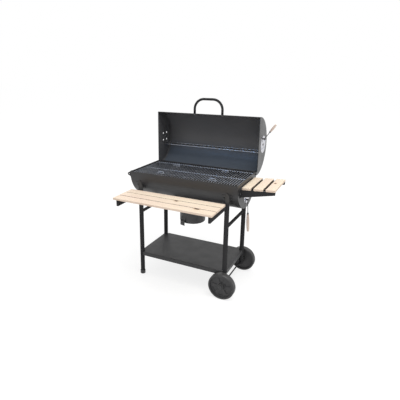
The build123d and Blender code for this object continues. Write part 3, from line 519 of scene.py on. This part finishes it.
@dataclass(frozen=True)
class Pine(Finish):
    """Pale planed pine with rings, fibres and knots, with painted shade on its upright faces and in
    its gaps.
    """

    axis: GrainAxis = GrainAxis.ALONG_X
    seed: float = 0.0
    knots: tuple[Knot, ...] = ()
    early: Colour = (0.95, 0.83, 0.665)
    late: Colour = (0.68, 0.49, 0.32)
    blush: Colour = (0.90, 0.74, 0.62)
    halo: Colour = (0.56, 0.34, 0.17)
    halo_share: float = 0.5
    core: Colour = (0.085, 0.040, 0.018)
    # Painted shade: the colour that the gaps are darkened to.
    painted_gap_shade_colour: Colour = (0.055, 0.042, 0.033)
    ring: float = 0.0062
    # Painted shade: upright faces are painted darker than the tops by this colour and share.
    upright_shade_colour: Colour = (0.70, 0.53, 0.43)
    upright_shade_share: float = 0.0
    eased_and_highlit: Point = (0.0016, 40.0, 0.35)
    # How strong the painted shade in gaps is, and the scale of its patches.
    painted_gap_shade: float = 0.0
    painted_gap_shade_scale: float = 30.0
    gap: float = 0.03
    smudge_scale: float = 14.0
    rough: Pair = (0.5, 0.66)
    relief: Pair = (0.35, 0.0005)
    ring_relief: float = 0.6
    tone_span: Pair = (0.35, 0.7)
    streaks: Quad = (0.25, 0.7, 0.55, 0.9)
    fibres: Quad = (0.55, 0.8, 0.0, 0.18)
    upright_span: Pair = (0.25, 0.75)

    def paint(self, wiring: Wiring, shader: Any, place: Socket) -> None:
        """Wires the grain round the knots, the painted shade on upright faces and in gaps, the
        edges and the sanded surface.
        """
        parts = wiring.add("ShaderNodeSeparateXYZ", {0: place}).outputs
        order = {index: parts[letter] for index, letter in enumerate(self.axis.value)}
        grain_place = wiring.add("ShaderNodeCombineXYZ", order).outputs[0]
        pull: Setting = 0.0
        marks = []
        for knot in self.knots:
            values = {"Along": knot.along, "Across": knot.across, "Radius": knot.radius}
            mark = self.shared(wiring, Effect.KNOT, grain_place, values)
            pull = wiring.math("ADD", mark["Pull"], pull)
            marks.append(mark)
        values = {"Seed": self.seed, "Ring": self.ring, "Pull": pull}
        grain = self.shared(wiring, Effect.GRAIN, grain_place, values)
        tone = wiring.span(grain["Tone"], *self.tone_span, 0.0, 1.0)
        ground = wiring.blend(tone, rgba(self.early), rgba(self.blush))
        streak = wiring.product(grain["Late"], wiring.span(grain["Fibre"], *self.streaks))
        colour = wiring.blend(streak, ground, rgba(self.late))
        colour = wiring.blend(wiring.span(grain["Fibre"], *self.fibres), colour, rgba(self.late))
        # Painted shade: upright faces are painted darker than the tops.
        facing = wiring.add("ShaderNodeTexCoord").outputs["Normal"]
        rise = wiring.add("ShaderNodeSeparateXYZ", {0: facing}).outputs["Z"]
        rise = wiring.math("ABSOLUTE", rise)
        upright = wiring.span(rise, *self.upright_span, self.upright_shade_share, 0.0)
        colour = wiring.blend(upright, colour, rgba(self.upright_shade_colour))
        for mark in marks:
            tint = wiring.math("MULTIPLY", mark["Halo"], self.halo_share)
            colour = wiring.blend(tint, colour, rgba(self.halo))
            colour = wiring.blend(mark["Core"], colour, rgba(self.core))
        # Edges turn paler towards the early wood: wear, and a painted highlight along them.
        edge = self.edge(wiring, place, *self.eased_and_highlit)
        colour = wiring.blend(edge, colour, rgba(self.early))
        # Painted shade: the wood is darkened where faces stand close, as in the gaps between
        # boards.
        if self.painted_gap_shade:
            values = {"Reach": self.gap, "Scale": self.painted_gap_shade_scale, "Amount": self.painted_gap_shade}
            gap_shade_mask = self.shared(wiring, Effect.CREVICE, place, values)["Mask"]
            colour = wiring.blend(gap_shade_mask, colour, rgba(self.painted_gap_shade_colour))
        wiring.feed(shader["Base Color"], colour)
        wiring.feed(shader["Roughness"], self.smudge(wiring, place, self.smudge_scale, *self.rough))
        height = wiring.math("MULTIPLY_ADD", grain["Late"], self.ring_relief, grain["Fibre"])
        wiring.feed(shader["Normal"], self.bump(wiring, height, *self.relief))


@dataclass(frozen=True)
class Plating(Finish):
    """Bright plated metal with faint haze and fine scratches."""

    colour: Colour = (0.70, 0.70, 0.715)
    haze: Colour = (0.50, 0.50, 0.52)
    rough: Pair = (0.10, 0.24)
    smudge_scale: float = 30.0
    haze_patches: Point = (22.0, 0.0, 0.6)
    lines: Point = (900.0, 900.0, 40.0)
    relief: Pair = (0.12, 0.0002)

    def paint(self, wiring: Wiring, shader: Any, place: Socket) -> None:
        """Wires plate, haze and scratches."""
        shader["Metallic"].default_value = 1.0
        haze = self.smudge(wiring, place, *self.haze_patches)
        wiring.feed(shader["Base Color"], wiring.blend(haze, rgba(self.colour), rgba(self.haze)))
        wiring.feed(shader["Roughness"], self.smudge(wiring, place, self.smudge_scale, *self.rough))
        lines = wiring.noise(wiring.stretched(place, self.lines), 1.0, 2.0)
        wiring.feed(shader["Normal"], self.bump(wiring, lines, *self.relief))


@dataclass(frozen=True)
class ZincSteel(Finish):
    """Zinc-plated steel with a dull crystal mottle."""

    colour: Colour = (0.40, 0.40, 0.41)
    dull: Colour = (0.27, 0.27, 0.275)
    bright: Colour = (0.6, 0.6, 0.61)
    crystals: float = 420.0
    wear: Point = (0.0005, 120.0, 0.6)
    smudge_scale: float = 60.0
    rough: Pair = (0.28, 0.46)
    relief: Pair = (0.08, 0.0002)

    def paint(self, wiring: Wiring, shader: Any, place: Socket) -> None:
        """Wires the mottled plate and its worn edges."""
        shader["Metallic"].default_value = 1.0
        cells = {"Vector": place, "Scale": self.crystals}
        crystals = wiring.add("ShaderNodeTexVoronoi", cells).outputs["Color"]
        mottle = wiring.add("ShaderNodeSeparateColor", {0: crystals}).outputs[0]
        edge = self.edge(wiring, place, *self.wear)
        ground = wiring.blend(mottle, rgba(self.colour), rgba(self.dull))
        wiring.feed(shader["Base Color"], wiring.blend(edge, ground, rgba(self.bright)))
        wiring.feed(shader["Roughness"], self.smudge(wiring, place, self.smudge_scale, *self.rough))
        wiring.feed(shader["Normal"], self.bump(wiring, mottle, *self.relief))


@dataclass(frozen=True)
class MouldedPlastic(Finish):
    """Dark moulded plastic with a fine grain and scuffed edges."""

    colour: Colour = (0.033, 0.033, 0.035)
    scuffed: Colour = (0.12, 0.12, 0.122)
    dusty: Colour = (0.22, 0.215, 0.2)
    rough: Pair = (0.42, 0.58)
    scuff: Point = (0.0018, 70.0, 0.55)
    dust: Pair = (24.0, 0.08)
    smudge_scale: float = 25.0
    texture: Pair = (900.0, 0.6)
    relief: Pair = (0.3, 0.0003)

    def paint(self, wiring: Wiring, shader: Any, place: Socket) -> None:
        """Wires the moulded grain, scuffs and dust."""
        edge = self.edge(wiring, place, *self.scuff)
        dust = self.dust_on(wiring, place, *self.dust)
        colour = wiring.blend(edge, rgba(self.colour), rgba(self.scuffed))
        wiring.feed(shader["Base Color"], wiring.blend(dust, colour, rgba(self.dusty)))
        wiring.feed(shader["Roughness"], self.smudge(wiring, place, self.smudge_scale, *self.rough))
        ripple = self.peel(wiring, place, *self.texture)
        wiring.feed(shader["Normal"], self.bump(wiring, ripple, *self.relief))


@dataclass(frozen=True)
class BareIron(Finish):
    """Bare iron rod, heat-stained, with a grey bloom."""

    colour: Colour = (0.045, 0.042, 0.040)
    bloom: Colour = (0.14, 0.132, 0.125)
    rust: Colour = (0.10, 0.048, 0.025)
    metal: float = 0.35
    bloom_patches: Point = (18.0, 0.0, 0.8)
    rust_patches: Point = (47.0, 0.0, 0.5)
    smudge_scale: float = 33.0
    rough: Pair = (0.5, 0.8)
    texture: Pair = (700.0, 0.8)
    relief: Pair = (0.5, 0.0005)

    def paint(self, wiring: Wiring, shader: Any, place: Socket) -> None:
        """Wires stain, bloom and a rough scale."""
        shader["Metallic"].default_value = self.metal
        bloom = self.smudge(wiring, place, *self.bloom_patches)
        rust = self.smudge(wiring, place, *self.rust_patches)
        colour = wiring.blend(bloom, rgba(self.colour), rgba(self.bloom))
        wiring.feed(shader["Base Color"], wiring.blend(rust, colour, rgba(self.rust)))
        wiring.feed(shader["Roughness"], self.smudge(wiring, place, self.smudge_scale, *self.rough))
        ripple = self.peel(wiring, place, *self.texture)
        wiring.feed(shader["Normal"], self.bump(wiring, ripple, *self.relief))


TUBE_BLACK = (0.036, 0.036, 0.038)
TUBE_ROUGH = (0.74, 0.84)
BLACK_PAINT = HeatPaint("black_heat_paint", "black_paint")
# The legs' paint turns paler above a set height.
LEG_PAINT = HeatPaint(
    "leg_paint", "black_paint", TUBE_BLACK, (0.075, 0.073, 0.072),
    rough=TUBE_ROUGH, dust=0.03, wear=0.1, gloss=0.08, paler_above=0.66,
)
SHELF_PAINT = HeatPaint(
    "lower_shelf_paint", "black_paint", (0.024, 0.024, 0.026), rough=(0.42, 0.50), dust=0.05,
)
TUBE_PAINT = HeatPaint(
    "leg_tube_paint", "black_paint", TUBE_BLACK, rough=TUBE_ROUGH, dust=0.03, wear=0.12, gloss=0.08,
)
KNOB_PAINT = HeatPaint("lever_black", "knob_plastic", rough=(0.22, 0.34), dust=0.04, wear=0.7)
GRID_WIRE = Plating(
    "plated_grid_wire", "chrome_wire", (0.48, 0.50, 0.54), (0.36, 0.375, 0.41), (0.42, 0.56)
)
RACK_WIRE = Plating(
    "plated_rack_wire", "chrome_wire", (0.42, 0.42, 0.435), (0.33, 0.33, 0.345), (0.28, 0.42)
)
CHROME_PLATE = Plating("plated_damper", "chrome_plate", colour=(0.53, 0.535, 0.585))
ZINC = ZincSteel("zinc_fasteners", "zinc_steel")
BLACK_ZINC = ZincSteel(
    "black_zinc_bolts", "zinc_steel", (0.055, 0.055, 0.057), (0.04, 0.04, 0.041)
)
WHEEL_PLASTIC = MouldedPlastic("moulded_wheel", "wheel_plastic")
GRATE_IRON = BareIron("grate_iron_rod", "grate_iron")


def dress(nodes: Iterable[str], finish: Finish) -> None:
    """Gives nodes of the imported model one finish.

    Args:
        nodes: The nodes' names.
        finish: The finish that they get.
    """
    material = finish.material()
    for name in nodes:
        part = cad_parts[name]
        if not part.material_slots:
            part.data.materials.append(material)
        for slot in part.material_slots:
            slot.material = material
        LOG.info("dressed %s in %s", name, finish.name)


def finished_mesh(name: str, shape: WorkMesh) -> bpy.types.Mesh:
    """Turns a working mesh into a kept one with its faces pointing out."""
    bmesh.ops.recalc_face_normals(shape, faces=shape.faces)
    mesh = bpy.data.meshes.new(name)
    shape.to_mesh(mesh)
    shape.free()
    return mesh


def place_piece(name: str, shape: WorkMesh, body: str, finish: Finish) -> bpy.types.Object:
    """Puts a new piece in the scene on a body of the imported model.

    Args:
        name: The piece's name.
        shape: Its working mesh, in the shared frame, which is used up.
        body: The body that it rides on.
        finish: Its finish.

    Returns:
        The new object.
    """
    mesh = finished_mesh(name, shape)
    piece = bpy.data.objects.new(name, mesh)
    bpy.context.scene.collection.objects.link(piece)
    mesh.materials.append(finish.material())
    mesh.shade_smooth()
    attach(piece, body)
    LOG.info("built %s on %s", name, body)
    return piece


def rounded_path(corners: Sequence[Vector], radius: float, steps: int = 14) -> list[Vector]:
    """Rounds the inner corners of a bent line.

    Args:
        corners: The line's points.
        radius: The radius of each bend.
        steps: The number of points in each bend.

    Returns:
        The points of the rounded line.
    """
    points = [corners[0]]
    for before, corner, after in zip(corners, corners[1:], corners[2:]):
        back, onward = (before - corner).normalized(), (after - corner).normalized()
        half = back.angle(onward) / 2
        middle = corner + (back + onward).normalized() * radius / math.sin(half)
        start = (corner + back * radius / math.tan(half) - middle).normalized()
        end = (corner + onward * radius / math.tan(half) - middle).normalized()
        points.extend(middle + start.slerp(end, step / steps) * radius for step in range(steps + 1))
    return [*points, corners[-1]]


def add_tube(
    shape: WorkMesh, path: Sequence[Vector], radius: float, closed: bool, sides: int = 10
) -> None:
    """Adds a round bead along a path.

    Args:
        shape: The mesh that the bead is added to.
        path: The points that the bead follows.
        radius: The bead's radius.
        closed: Whether the path joins up with its start.
        sides: The number of sides of the bead.
    """
    count = len(path)
    lines = []
    for index, point in enumerate(path):
        before = path[index - 1] if closed or index else point
        after = path[(index + 1) % count] if closed or index < count - 1 else point
        lines.append((after - before).normalized())
    helper = min(Matrix.Identity(3), key=lambda axis: max(abs(line.dot(axis)) for line in lines))
    turns = [2 * math.pi * step / sides for step in range(sides)]
    rings = []
    for point, line in zip(path, lines):
        side = line.cross(helper).normalized()
        up = side.cross(line).normalized()
        spokes = [radius * (side * math.cos(turn) + up * math.sin(turn)) for turn in turns]
        rings.append([shape.verts.new(point + spoke) for spoke in spokes])
    pairs = zip(rings, rings[1:] + rings[:1]) if closed else zip(rings, rings[1:])
    for first, second in pairs:
        for step in range(sides):
            following = (step + 1) % sides
            shape.faces.new((first[step], first[following], second[following], second[step]))
    if not closed:
        shape.faces.new(list(reversed(rings[0])))
        shape.faces.new(rings[-1])


def add_bar(
    shape: WorkMesh, start: Sequence[float], end: Sequence[float], radius: float
) -> None:
    """Adds a straight round bead between two points."""
    add_tube(shape, [Vector(start), Vector(end)], radius, False)


@dataclass
class Bowl:
    """The half-barrel bowl with what is inside it and its rolled rim."""

    hem_radius: float = 0.0023
    hem_set_in: float = 0.0012
    hem_proud: float = 0.0002
    rear_clear: float = 0.034
    body: str = "cart"

    def build(self) -> None:
        """Rolls a bead along the rim, clear of the lid's pivots."""
        low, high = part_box("bowl_shell")
        level = high.z - self.hem_radius + self.hem_proud
        near, far = low.y + self.hem_set_in, high.y - self.hem_set_in
        left, right = low.x + self.hem_set_in, high.x - self.hem_set_in
        back = far - self.rear_clear
        shape = bmesh.new()
        for y in (near, far):
            add_bar(shape, (left, y, level), (right, y, level), self.hem_radius)
        for x in (left, right):
            add_bar(shape, (x, near, level), (x, back, level), self.hem_radius)
        place_piece("bowl_rim_hem", shape, self.body, BLACK_PAINT)

    def dress(self) -> None:
        """Paints the bowl and finishes the grids and the grate."""
        dress(("bowl_shell", "bowl_left_end", "bowl_right_end", "lid_stops"), BLACK_PAINT)
        dress(("grid_ledges", "grate_ledges", "ash_chute", "bucket_rails"), BLACK_PAINT)
        dress(("corner_hook",), TUBE_PAINT)
        dress(("left_cooking_grid", "right_cooking_grid"), GRID_WIRE)
        dress(("charcoal_grate",), GRATE_IRON)
        dress(("pivot_bolts", "pivot_spacers", "plate_bolts", "bowl_vent_rivet"), ZINC)


@dataclass
class Lid:
    """The half-barrel lid, open, with its handle, rack and rolled edge."""

    hem_radius: float = 0.0023
    hem_set_in: float = 0.0028
    hem_proud: float = 0.0002
    side_set_in: float = 0.0012
    ear_clear: float = 0.055
    handle_radius: float = 0.009
    handle_bend: float = 0.074
    handle_sides: int = 24
    shell_gloss: float = 0.3
    end_rough: Pair = (0.30, 0.38)
    # Painted light and shade on the ends' inside: paler above the middle, darker below it.
    end_inner: Colour = (0.096, 0.096, 0.100)
    end_inside_shade_and_reflection: Colour = (0.080, 0.082, 0.086)
    body: str = "lid"

    def build(self) -> None:
        """Rolls the lid's edge and bends its handle."""
        self.roll_edge()
        self.bend_handle()

    def roll_edge(self) -> None:
        """Rolls a bead along the lid's edge, clear of its pivot ears."""
        low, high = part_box("lid_shell")
        face = low.y + self.hem_radius - self.hem_proud
        bottom, top = low.z + self.hem_set_in, high.z - self.hem_set_in
        left, right = low.x + self.side_set_in, high.x - self.side_set_in
        shape = bmesh.new()
        for z in (bottom, top):
            add_bar(shape, (left, face, z), (right, face, z), self.hem_radius)
        for x in (left, right):
            add_bar(shape, (x, face, low.z + self.ear_clear), (x, face, top), self.hem_radius)
        place_piece("lid_edge_hem", shape, self.body, BLACK_PAINT)

    def bend_handle(self) -> None:
        """Bends the handle from one round tube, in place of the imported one."""
        low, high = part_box("lid_handle")
        thin = (high.y - low.y) / 2
        depth, level = (low.y + high.y) / 2, high.z - self.handle_radius
        left, right = low.x + thin, high.x - thin
        corners = [(left, low.z), (left, level), (right, level), (right, low.z)]
        path = rounded_path([Vector((x, depth, z)) for x, z in corners], self.handle_bend)
        shape = bmesh.new()
        add_tube(shape, path, self.handle_radius, False, self.handle_sides)
        handle = place_piece("lid_handle_tube", shape, self.body, TUBE_PAINT)
        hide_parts("lid_handle")

    def dress(self) -> None:
        """Paints the lid and plates its rack."""
        low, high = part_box("lid_shell")
        middle = ((low.x + high.x) / 2, low.y, (low.z + high.z) / 2)
        # The shell and the ends carry painted light above their middle and painted shade with a
        # blue reflection below it.
        shell = HeatPaint("lid_shell_paint", "black_paint", gloss=self.shell_gloss, middle=middle)
        dress(("lid_shell",), shell)
        ends = HeatPaint(
            "lid_end_paint", "black_paint",
            rough=self.end_rough, middle=middle, inner=self.end_inner, inside_shade_and_reflection=self.end_inside_shade_and_reflection,
        )
        dress(("lid_left_end", "lid_right_end"), ends)
        dress(("lid_handle",), TUBE_PAINT)
        dress(("warming_rack",), RACK_WIRE)
        dress(("handle_screws", "rack_pins", "lid_vent_rivets"), ZINC)


@dataclass
class Vents:
    """The three round dampers with their knob, levers and wooden grips."""

    pale: Colour = (0.82, 0.69, 0.60)
    pink: Colour = (0.68, 0.52, 0.44)

    def dress(self) -> None:
        """Plates the dampers and finishes their levers and grips."""
        dress(("lid_left_damper", "lid_right_damper", "bowl_right_damper"), CHROME_PLATE)
        dress(("lid_left_knob", "lid_right_lever", "bowl_right_lever"), KNOB_PAINT)
        for node, seed in (("lid_right_grip", 2.7), ("bowl_right_grip", 5.9)):
            grip = Pine(
                f"{node}_pine", "wood", GrainAxis.ALONG_Z, seed,
                early=self.pale, late=self.pink, blush=self.pink,
            )
            dress((node,), grip)


@dataclass
class Cart:
    """The legs, rails, lower shelf, axle, wheels and feet."""

    rail_radius: float = 0.011
    rail_heights: Pair = (0.5, 0.1735)
    weld_radius: float = 0.0017
    weld_points: int = 28
    weld_sides: int = 6
    seam_radius: float = 0.0075
    seam_reach: float = 0.42
    seam_set_in: float = 0.0004
    seam_ends: Pair = (0.001, 0.003)
    body: str = "cart"

    def weld_path(self, leg: str, height: float) -> list[Vector]:
        """Follows the line where a rail meets a leg.

        Args:
            leg: The leg's node name.
            height: The rail's height.

        Returns:
            The points of the closed line.
        """
        low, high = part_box(leg)
        middle = (low + high) / 2
        leg_radius = (high.x - low.x) / 2
        inward = 1.0 if leg.startswith("front") else -1.0
        points = []
        for index in range(self.weld_points):
            turn = 2 * math.pi * index / self.weld_points
            across = self.rail_radius * math.cos(turn)
            reach = math.sqrt(leg_radius**2 - across**2)
            rise = self.rail_radius * math.sin(turn)
            points.append(Vector((middle.x + across, middle.y + inward * reach, height + rise)))
        return points

    def build(self) -> None:
        """Welds the rails' ends and fills the lower shelf's front corners to the legs."""
        shape = bmesh.new()
        for leg in LEGS:
            for height in self.rail_heights:
                path = self.weld_path(leg, height)
                add_tube(shape, path, self.weld_radius, True, self.weld_sides)
        shelf_low, shelf_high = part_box("lower_shelf")
        bottom, top = shelf_low.z + self.seam_ends[0], shelf_high.z - self.seam_ends[1]
        y = shelf_low.y + self.seam_radius + self.seam_set_in
        for leg, inward in zip(FRONT_LEGS, (1.0, -1.0)):
            low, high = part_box(leg)
            x = (low.x + high.x) / 2 + inward * (high.x - low.x) * self.seam_reach
            add_bar(shape, (x, y, bottom), (x, y, top), self.seam_radius)
        place_piece("rail_welds", shape, self.body, TUBE_PAINT)

    def dress(self) -> None:
        """Paints the frame and finishes the running gear."""
        dress(LEGS, LEG_PAINT)
        dress(("side_rails",), TUBE_PAINT)
        dress(("leg_saddles", "leg_bolts"), BLACK_PAINT)
        dress(("lower_shelf",), SHELF_PAINT)
        dress(("front_wheel", "rear_wheel", "leg_feet", "hub_caps"), WHEEL_PLASTIC)
        dress(("axle_washers",), ZINC)
        dress(("axle",), BLACK_ZINC)


@dataclass
class Shelves:
    """The front and side shelves with their arms."""

    outer_knot: Knot = Knot(0.1194, -0.3769, 0.0125)
    middle_knot: Knot = Knot(-0.0600, -0.3029, 0.0095)
    side_knot: Knot = Knot(0.0480, 0.4845, 0.0080)
    strip_lap: float = 0.006
    strip_sheet: float = 0.0016
    strip_clear: float = 0.0004
    front_gap: float = 0.035
    side_gap: float = 0.06
    # Painted shade: how much darker the boards' upright faces are painted.
    upright_shade_share: float = 0.5
    # Painted shade: how dark the gaps between the boards are painted.
    painted_gap_shade: float = 1.0
    body: str = "cart"

    def build(self) -> None:
        """Lays a dark strip under each gap of the side shelf, between its arms, as painted shade
        that keeps the gaps dark.
        """
        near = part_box("side_front_arm")[1].y + self.strip_clear
        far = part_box("side_rear_arm")[0].y - self.strip_clear
        shape = bmesh.new()
        names = ("side_board_inner", "side_board_middle", "side_board_outer")
        for inner, outer in zip(names, names[1:]):
            inner_low, inner_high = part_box(inner)
            outer_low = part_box(outer)[0]
            top = inner_low.z - self.strip_clear
            low = Vector((inner_high.x - self.strip_lap, near, top - self.strip_sheet))
            high = Vector((outer_low.x + self.strip_lap, far, top))
            scale = Matrix.Diagonal((*(high - low), 1.0))
            place = Matrix.Translation((low + high) / 2) @ scale
            bmesh.ops.create_cube(shape, size=1.0, matrix=place)
        # Painted shade: dark sheets that stand in for the shade seen through the gaps.
        place_piece("side_gap_shade_strips", shape, self.body, TUBE_PAINT)

    def dress(self) -> None:
        """Gives each board its own cut of pine and paints the arms."""
        front = {
            "front_board_outer": (1.3, (self.outer_knot,)),
            "front_board_middle": (4.1, (self.middle_knot,)),
            "front_board_inner": (7.7, ()),
        }
        side = {
            "side_board_inner": (9.2, ()),
            "side_board_middle": (11.6, ()),
            "side_board_outer": (14.5, (self.side_knot,)),
        }
        shelves = (
            (front, GrainAxis.ALONG_X, self.front_gap),
            (side, GrainAxis.ALONG_Y, self.side_gap),
        )
        for boards, axis, gap in shelves:
            for node, (seed, knots) in boards.items():
                pine = Pine(
                    f"{node}_pine", "wood", axis, seed, knots,
                    upright_shade_share=self.upright_shade_share, painted_gap_shade=self.painted_gap_shade, gap=gap,
                )
                dress((node,), pine)
        dress(("front_left_arm", "front_right_arm", "side_front_arm", "side_rear_arm"), TUBE_PAINT)
        dress(("board_screws",), ZINC)


@dataclass
class AshBucket:
    """The bucket that hangs under the bowl."""

    def dress(self) -> None:
        """Paints the bucket and its pull."""
        dress(("ash_bucket", "bucket_pull"), BLACK_PAINT)


@dataclass
class Studio:
    """The pale floor, the soft light and the camera."""

    image_px: float = 400.0
    focal_px: float = 383.05
    centre_px: Pair = (175.77, 182.75)
    camera_place: Point = (1.0187, -2.3714, 1.4863)
    camera_yaw: float = 27.625
    camera_pitch: float = 16.287
    sensor_mm: float = 36.0
    world_light: float = 0.70
    white: float = 1.0
    floor_half: float = 30.0
    floor_grey: Colour = (0.80, 0.80, 0.80)
    floor_rough: float = 0.9
    floor_lift: float = 0.61
    floor_glow: float = 1.28
    box_place: Point = (1.4, -1.0, 5.0)
    box_size: Pair = (3.0, 2.4)
    box_power: float = 130.0
    box_colour: Colour = (1.0, 0.985, 0.965)
    sky_place: Point = (-0.65, -1.0, 3.1)
    sky_size: Pair = (0.7, 1.2)
    sky_power: float = 20.0
    sky_colour: Colour = (0.27, 0.53, 1.0)
    aim: Point = (-0.1, 0.1, 0.7)

    def set_camera(self) -> None:
        """Stands the camera where the photograph was taken."""
        lens = bpy.data.cameras.new("studio_camera")
        lens.sensor_width = self.sensor_mm
        lens.lens = self.focal_px / self.image_px * self.sensor_mm
        lens.shift_x = 0.5 - self.centre_px[0] / self.image_px
        lens.shift_y = self.centre_px[1] / self.image_px - 0.5
        camera = bpy.data.objects.new("studio_camera", lens)
        camera.location = self.camera_place
        tilt, turn = math.radians(90 - self.camera_pitch), math.radians(self.camera_yaw)
        camera.rotation_euler = (tilt, 0.0, turn)
        bpy.context.scene.collection.objects.link(camera)
        bpy.context.scene.camera = camera

    @staticmethod
    def seen(wiring: Wiring) -> Socket:
        """Returns 1 for rays that show the background, straight or in a mirror or glass."""
        rays = wiring.add("ShaderNodeLightPath").outputs
        mirror = wiring.math("MAXIMUM", rays["Is Glossy Ray"], rays["Is Transmission Ray"])
        return wiring.math("MAXIMUM", rays["Is Camera Ray"], mirror)

    def set_world(self) -> None:
        """Lights the studio evenly and shows it white."""
        world = bpy.data.worlds.new("studio_world")
        world.use_nodes = True
        wiring = Wiring(world.node_tree)
        back = world.node_tree.nodes["Background"]
        back.inputs["Color"].default_value = WHITE
        strength = wiring.span(self.seen(wiring), 0.0, 1.0, self.world_light, self.white)
        wiring.feed(back.inputs["Strength"], strength)
        bpy.context.scene.world = world

    def set_floor(self) -> None:
        """Lays a white floor that keeps a soft shadow."""
        half = self.floor_half
        corners = [(-half, -half), (half, -half), (half, half), (-half, half)]
        mesh = bpy.data.meshes.new("studio_floor")
        mesh.from_pydata([(x, y, 0.0) for x, y in corners], [], [(0, 1, 2, 3)])
        floor = bpy.data.objects.new("studio_floor", mesh)
        bpy.context.scene.collection.objects.link(floor)
        material = bpy.data.materials.new("studio_floor_white")
        material.use_nodes = True
        wiring = Wiring(material.node_tree)
        nodes = material.node_tree.nodes
        shader = nodes["Principled BSDF"]
        shader.inputs["Base Color"].default_value = rgba(self.floor_grey)
        shader.inputs["Roughness"].default_value = self.floor_rough
        shader.inputs["Specular IOR Level"].default_value = 0.0
        glow = wiring.add("ShaderNodeEmission", {"Color": WHITE, "Strength": self.floor_glow})
        share = wiring.math("MULTIPLY", self.seen(wiring), self.floor_lift)
        shades = {0: share, 1: shader.outputs[0], 2: glow.outputs[0]}
        mixed = wiring.add("ShaderNodeMixShader", shades)
        wiring.feed(nodes["Material Output"].inputs["Surface"], mixed.outputs[0])
        mesh.materials.append(material)

    def set_lights(self) -> None:
        """Hangs a large soft box over the right and a small sky pane that only shows in gloss."""
        self.hang("soft_box", self.box_place, self.box_size, self.box_power, self.box_colour)
        pane = self.hang("sky_pane", self.sky_place, self.sky_size, self.sky_power, self.sky_colour)
        pane.visible_diffuse = False

    def hang(
        self, name: str, place: Point, size: Pair, power: float, colour: Colour
    ) -> bpy.types.Object:
        """Hangs a flat lamp that faces the grill.

        Args:
            name: The lamp's name.
            place: Where it hangs.
            size: Its width and height.
            power: Its power in watts.
            colour: Its colour.

        Returns:
            The lamp.
        """
        light = bpy.data.lights.new(name, "AREA")
        light.shape = "RECTANGLE"
        light.size, light.size_y = size
        light.energy = power
        light.color = colour
        lamp = bpy.data.objects.new(name, light)
        aim = Vector(self.aim) - Vector(place)
        turn = aim.to_track_quat("-Z", "Y").to_matrix().to_4x4()
        lamp.matrix_world = Matrix.Translation(place) @ turn
        bpy.context.scene.collection.objects.link(lamp)
        return lamp

    def build(self) -> None:
        """Sets up everything that isn't part of the grill."""
        bpy.context.scene.view_settings.view_transform = "Standard"
        self.set_camera()
        self.set_world()
        self.set_floor()
        self.set_lights()


def main() -> None:
    """Builds and dresses the grill, then sets the studio round it."""
    logging.basicConfig(level=logging.INFO, format="%(name)s: %(message)s")
    Studio().build()
    for assembly in (Bowl(), Lid(), Cart(), Shelves()):
        assembly.build()
        assembly.dress()
    for assembly in (Vents(), AshBucket()):
        assembly.dress()


if __name__ == "__main__":
    main()
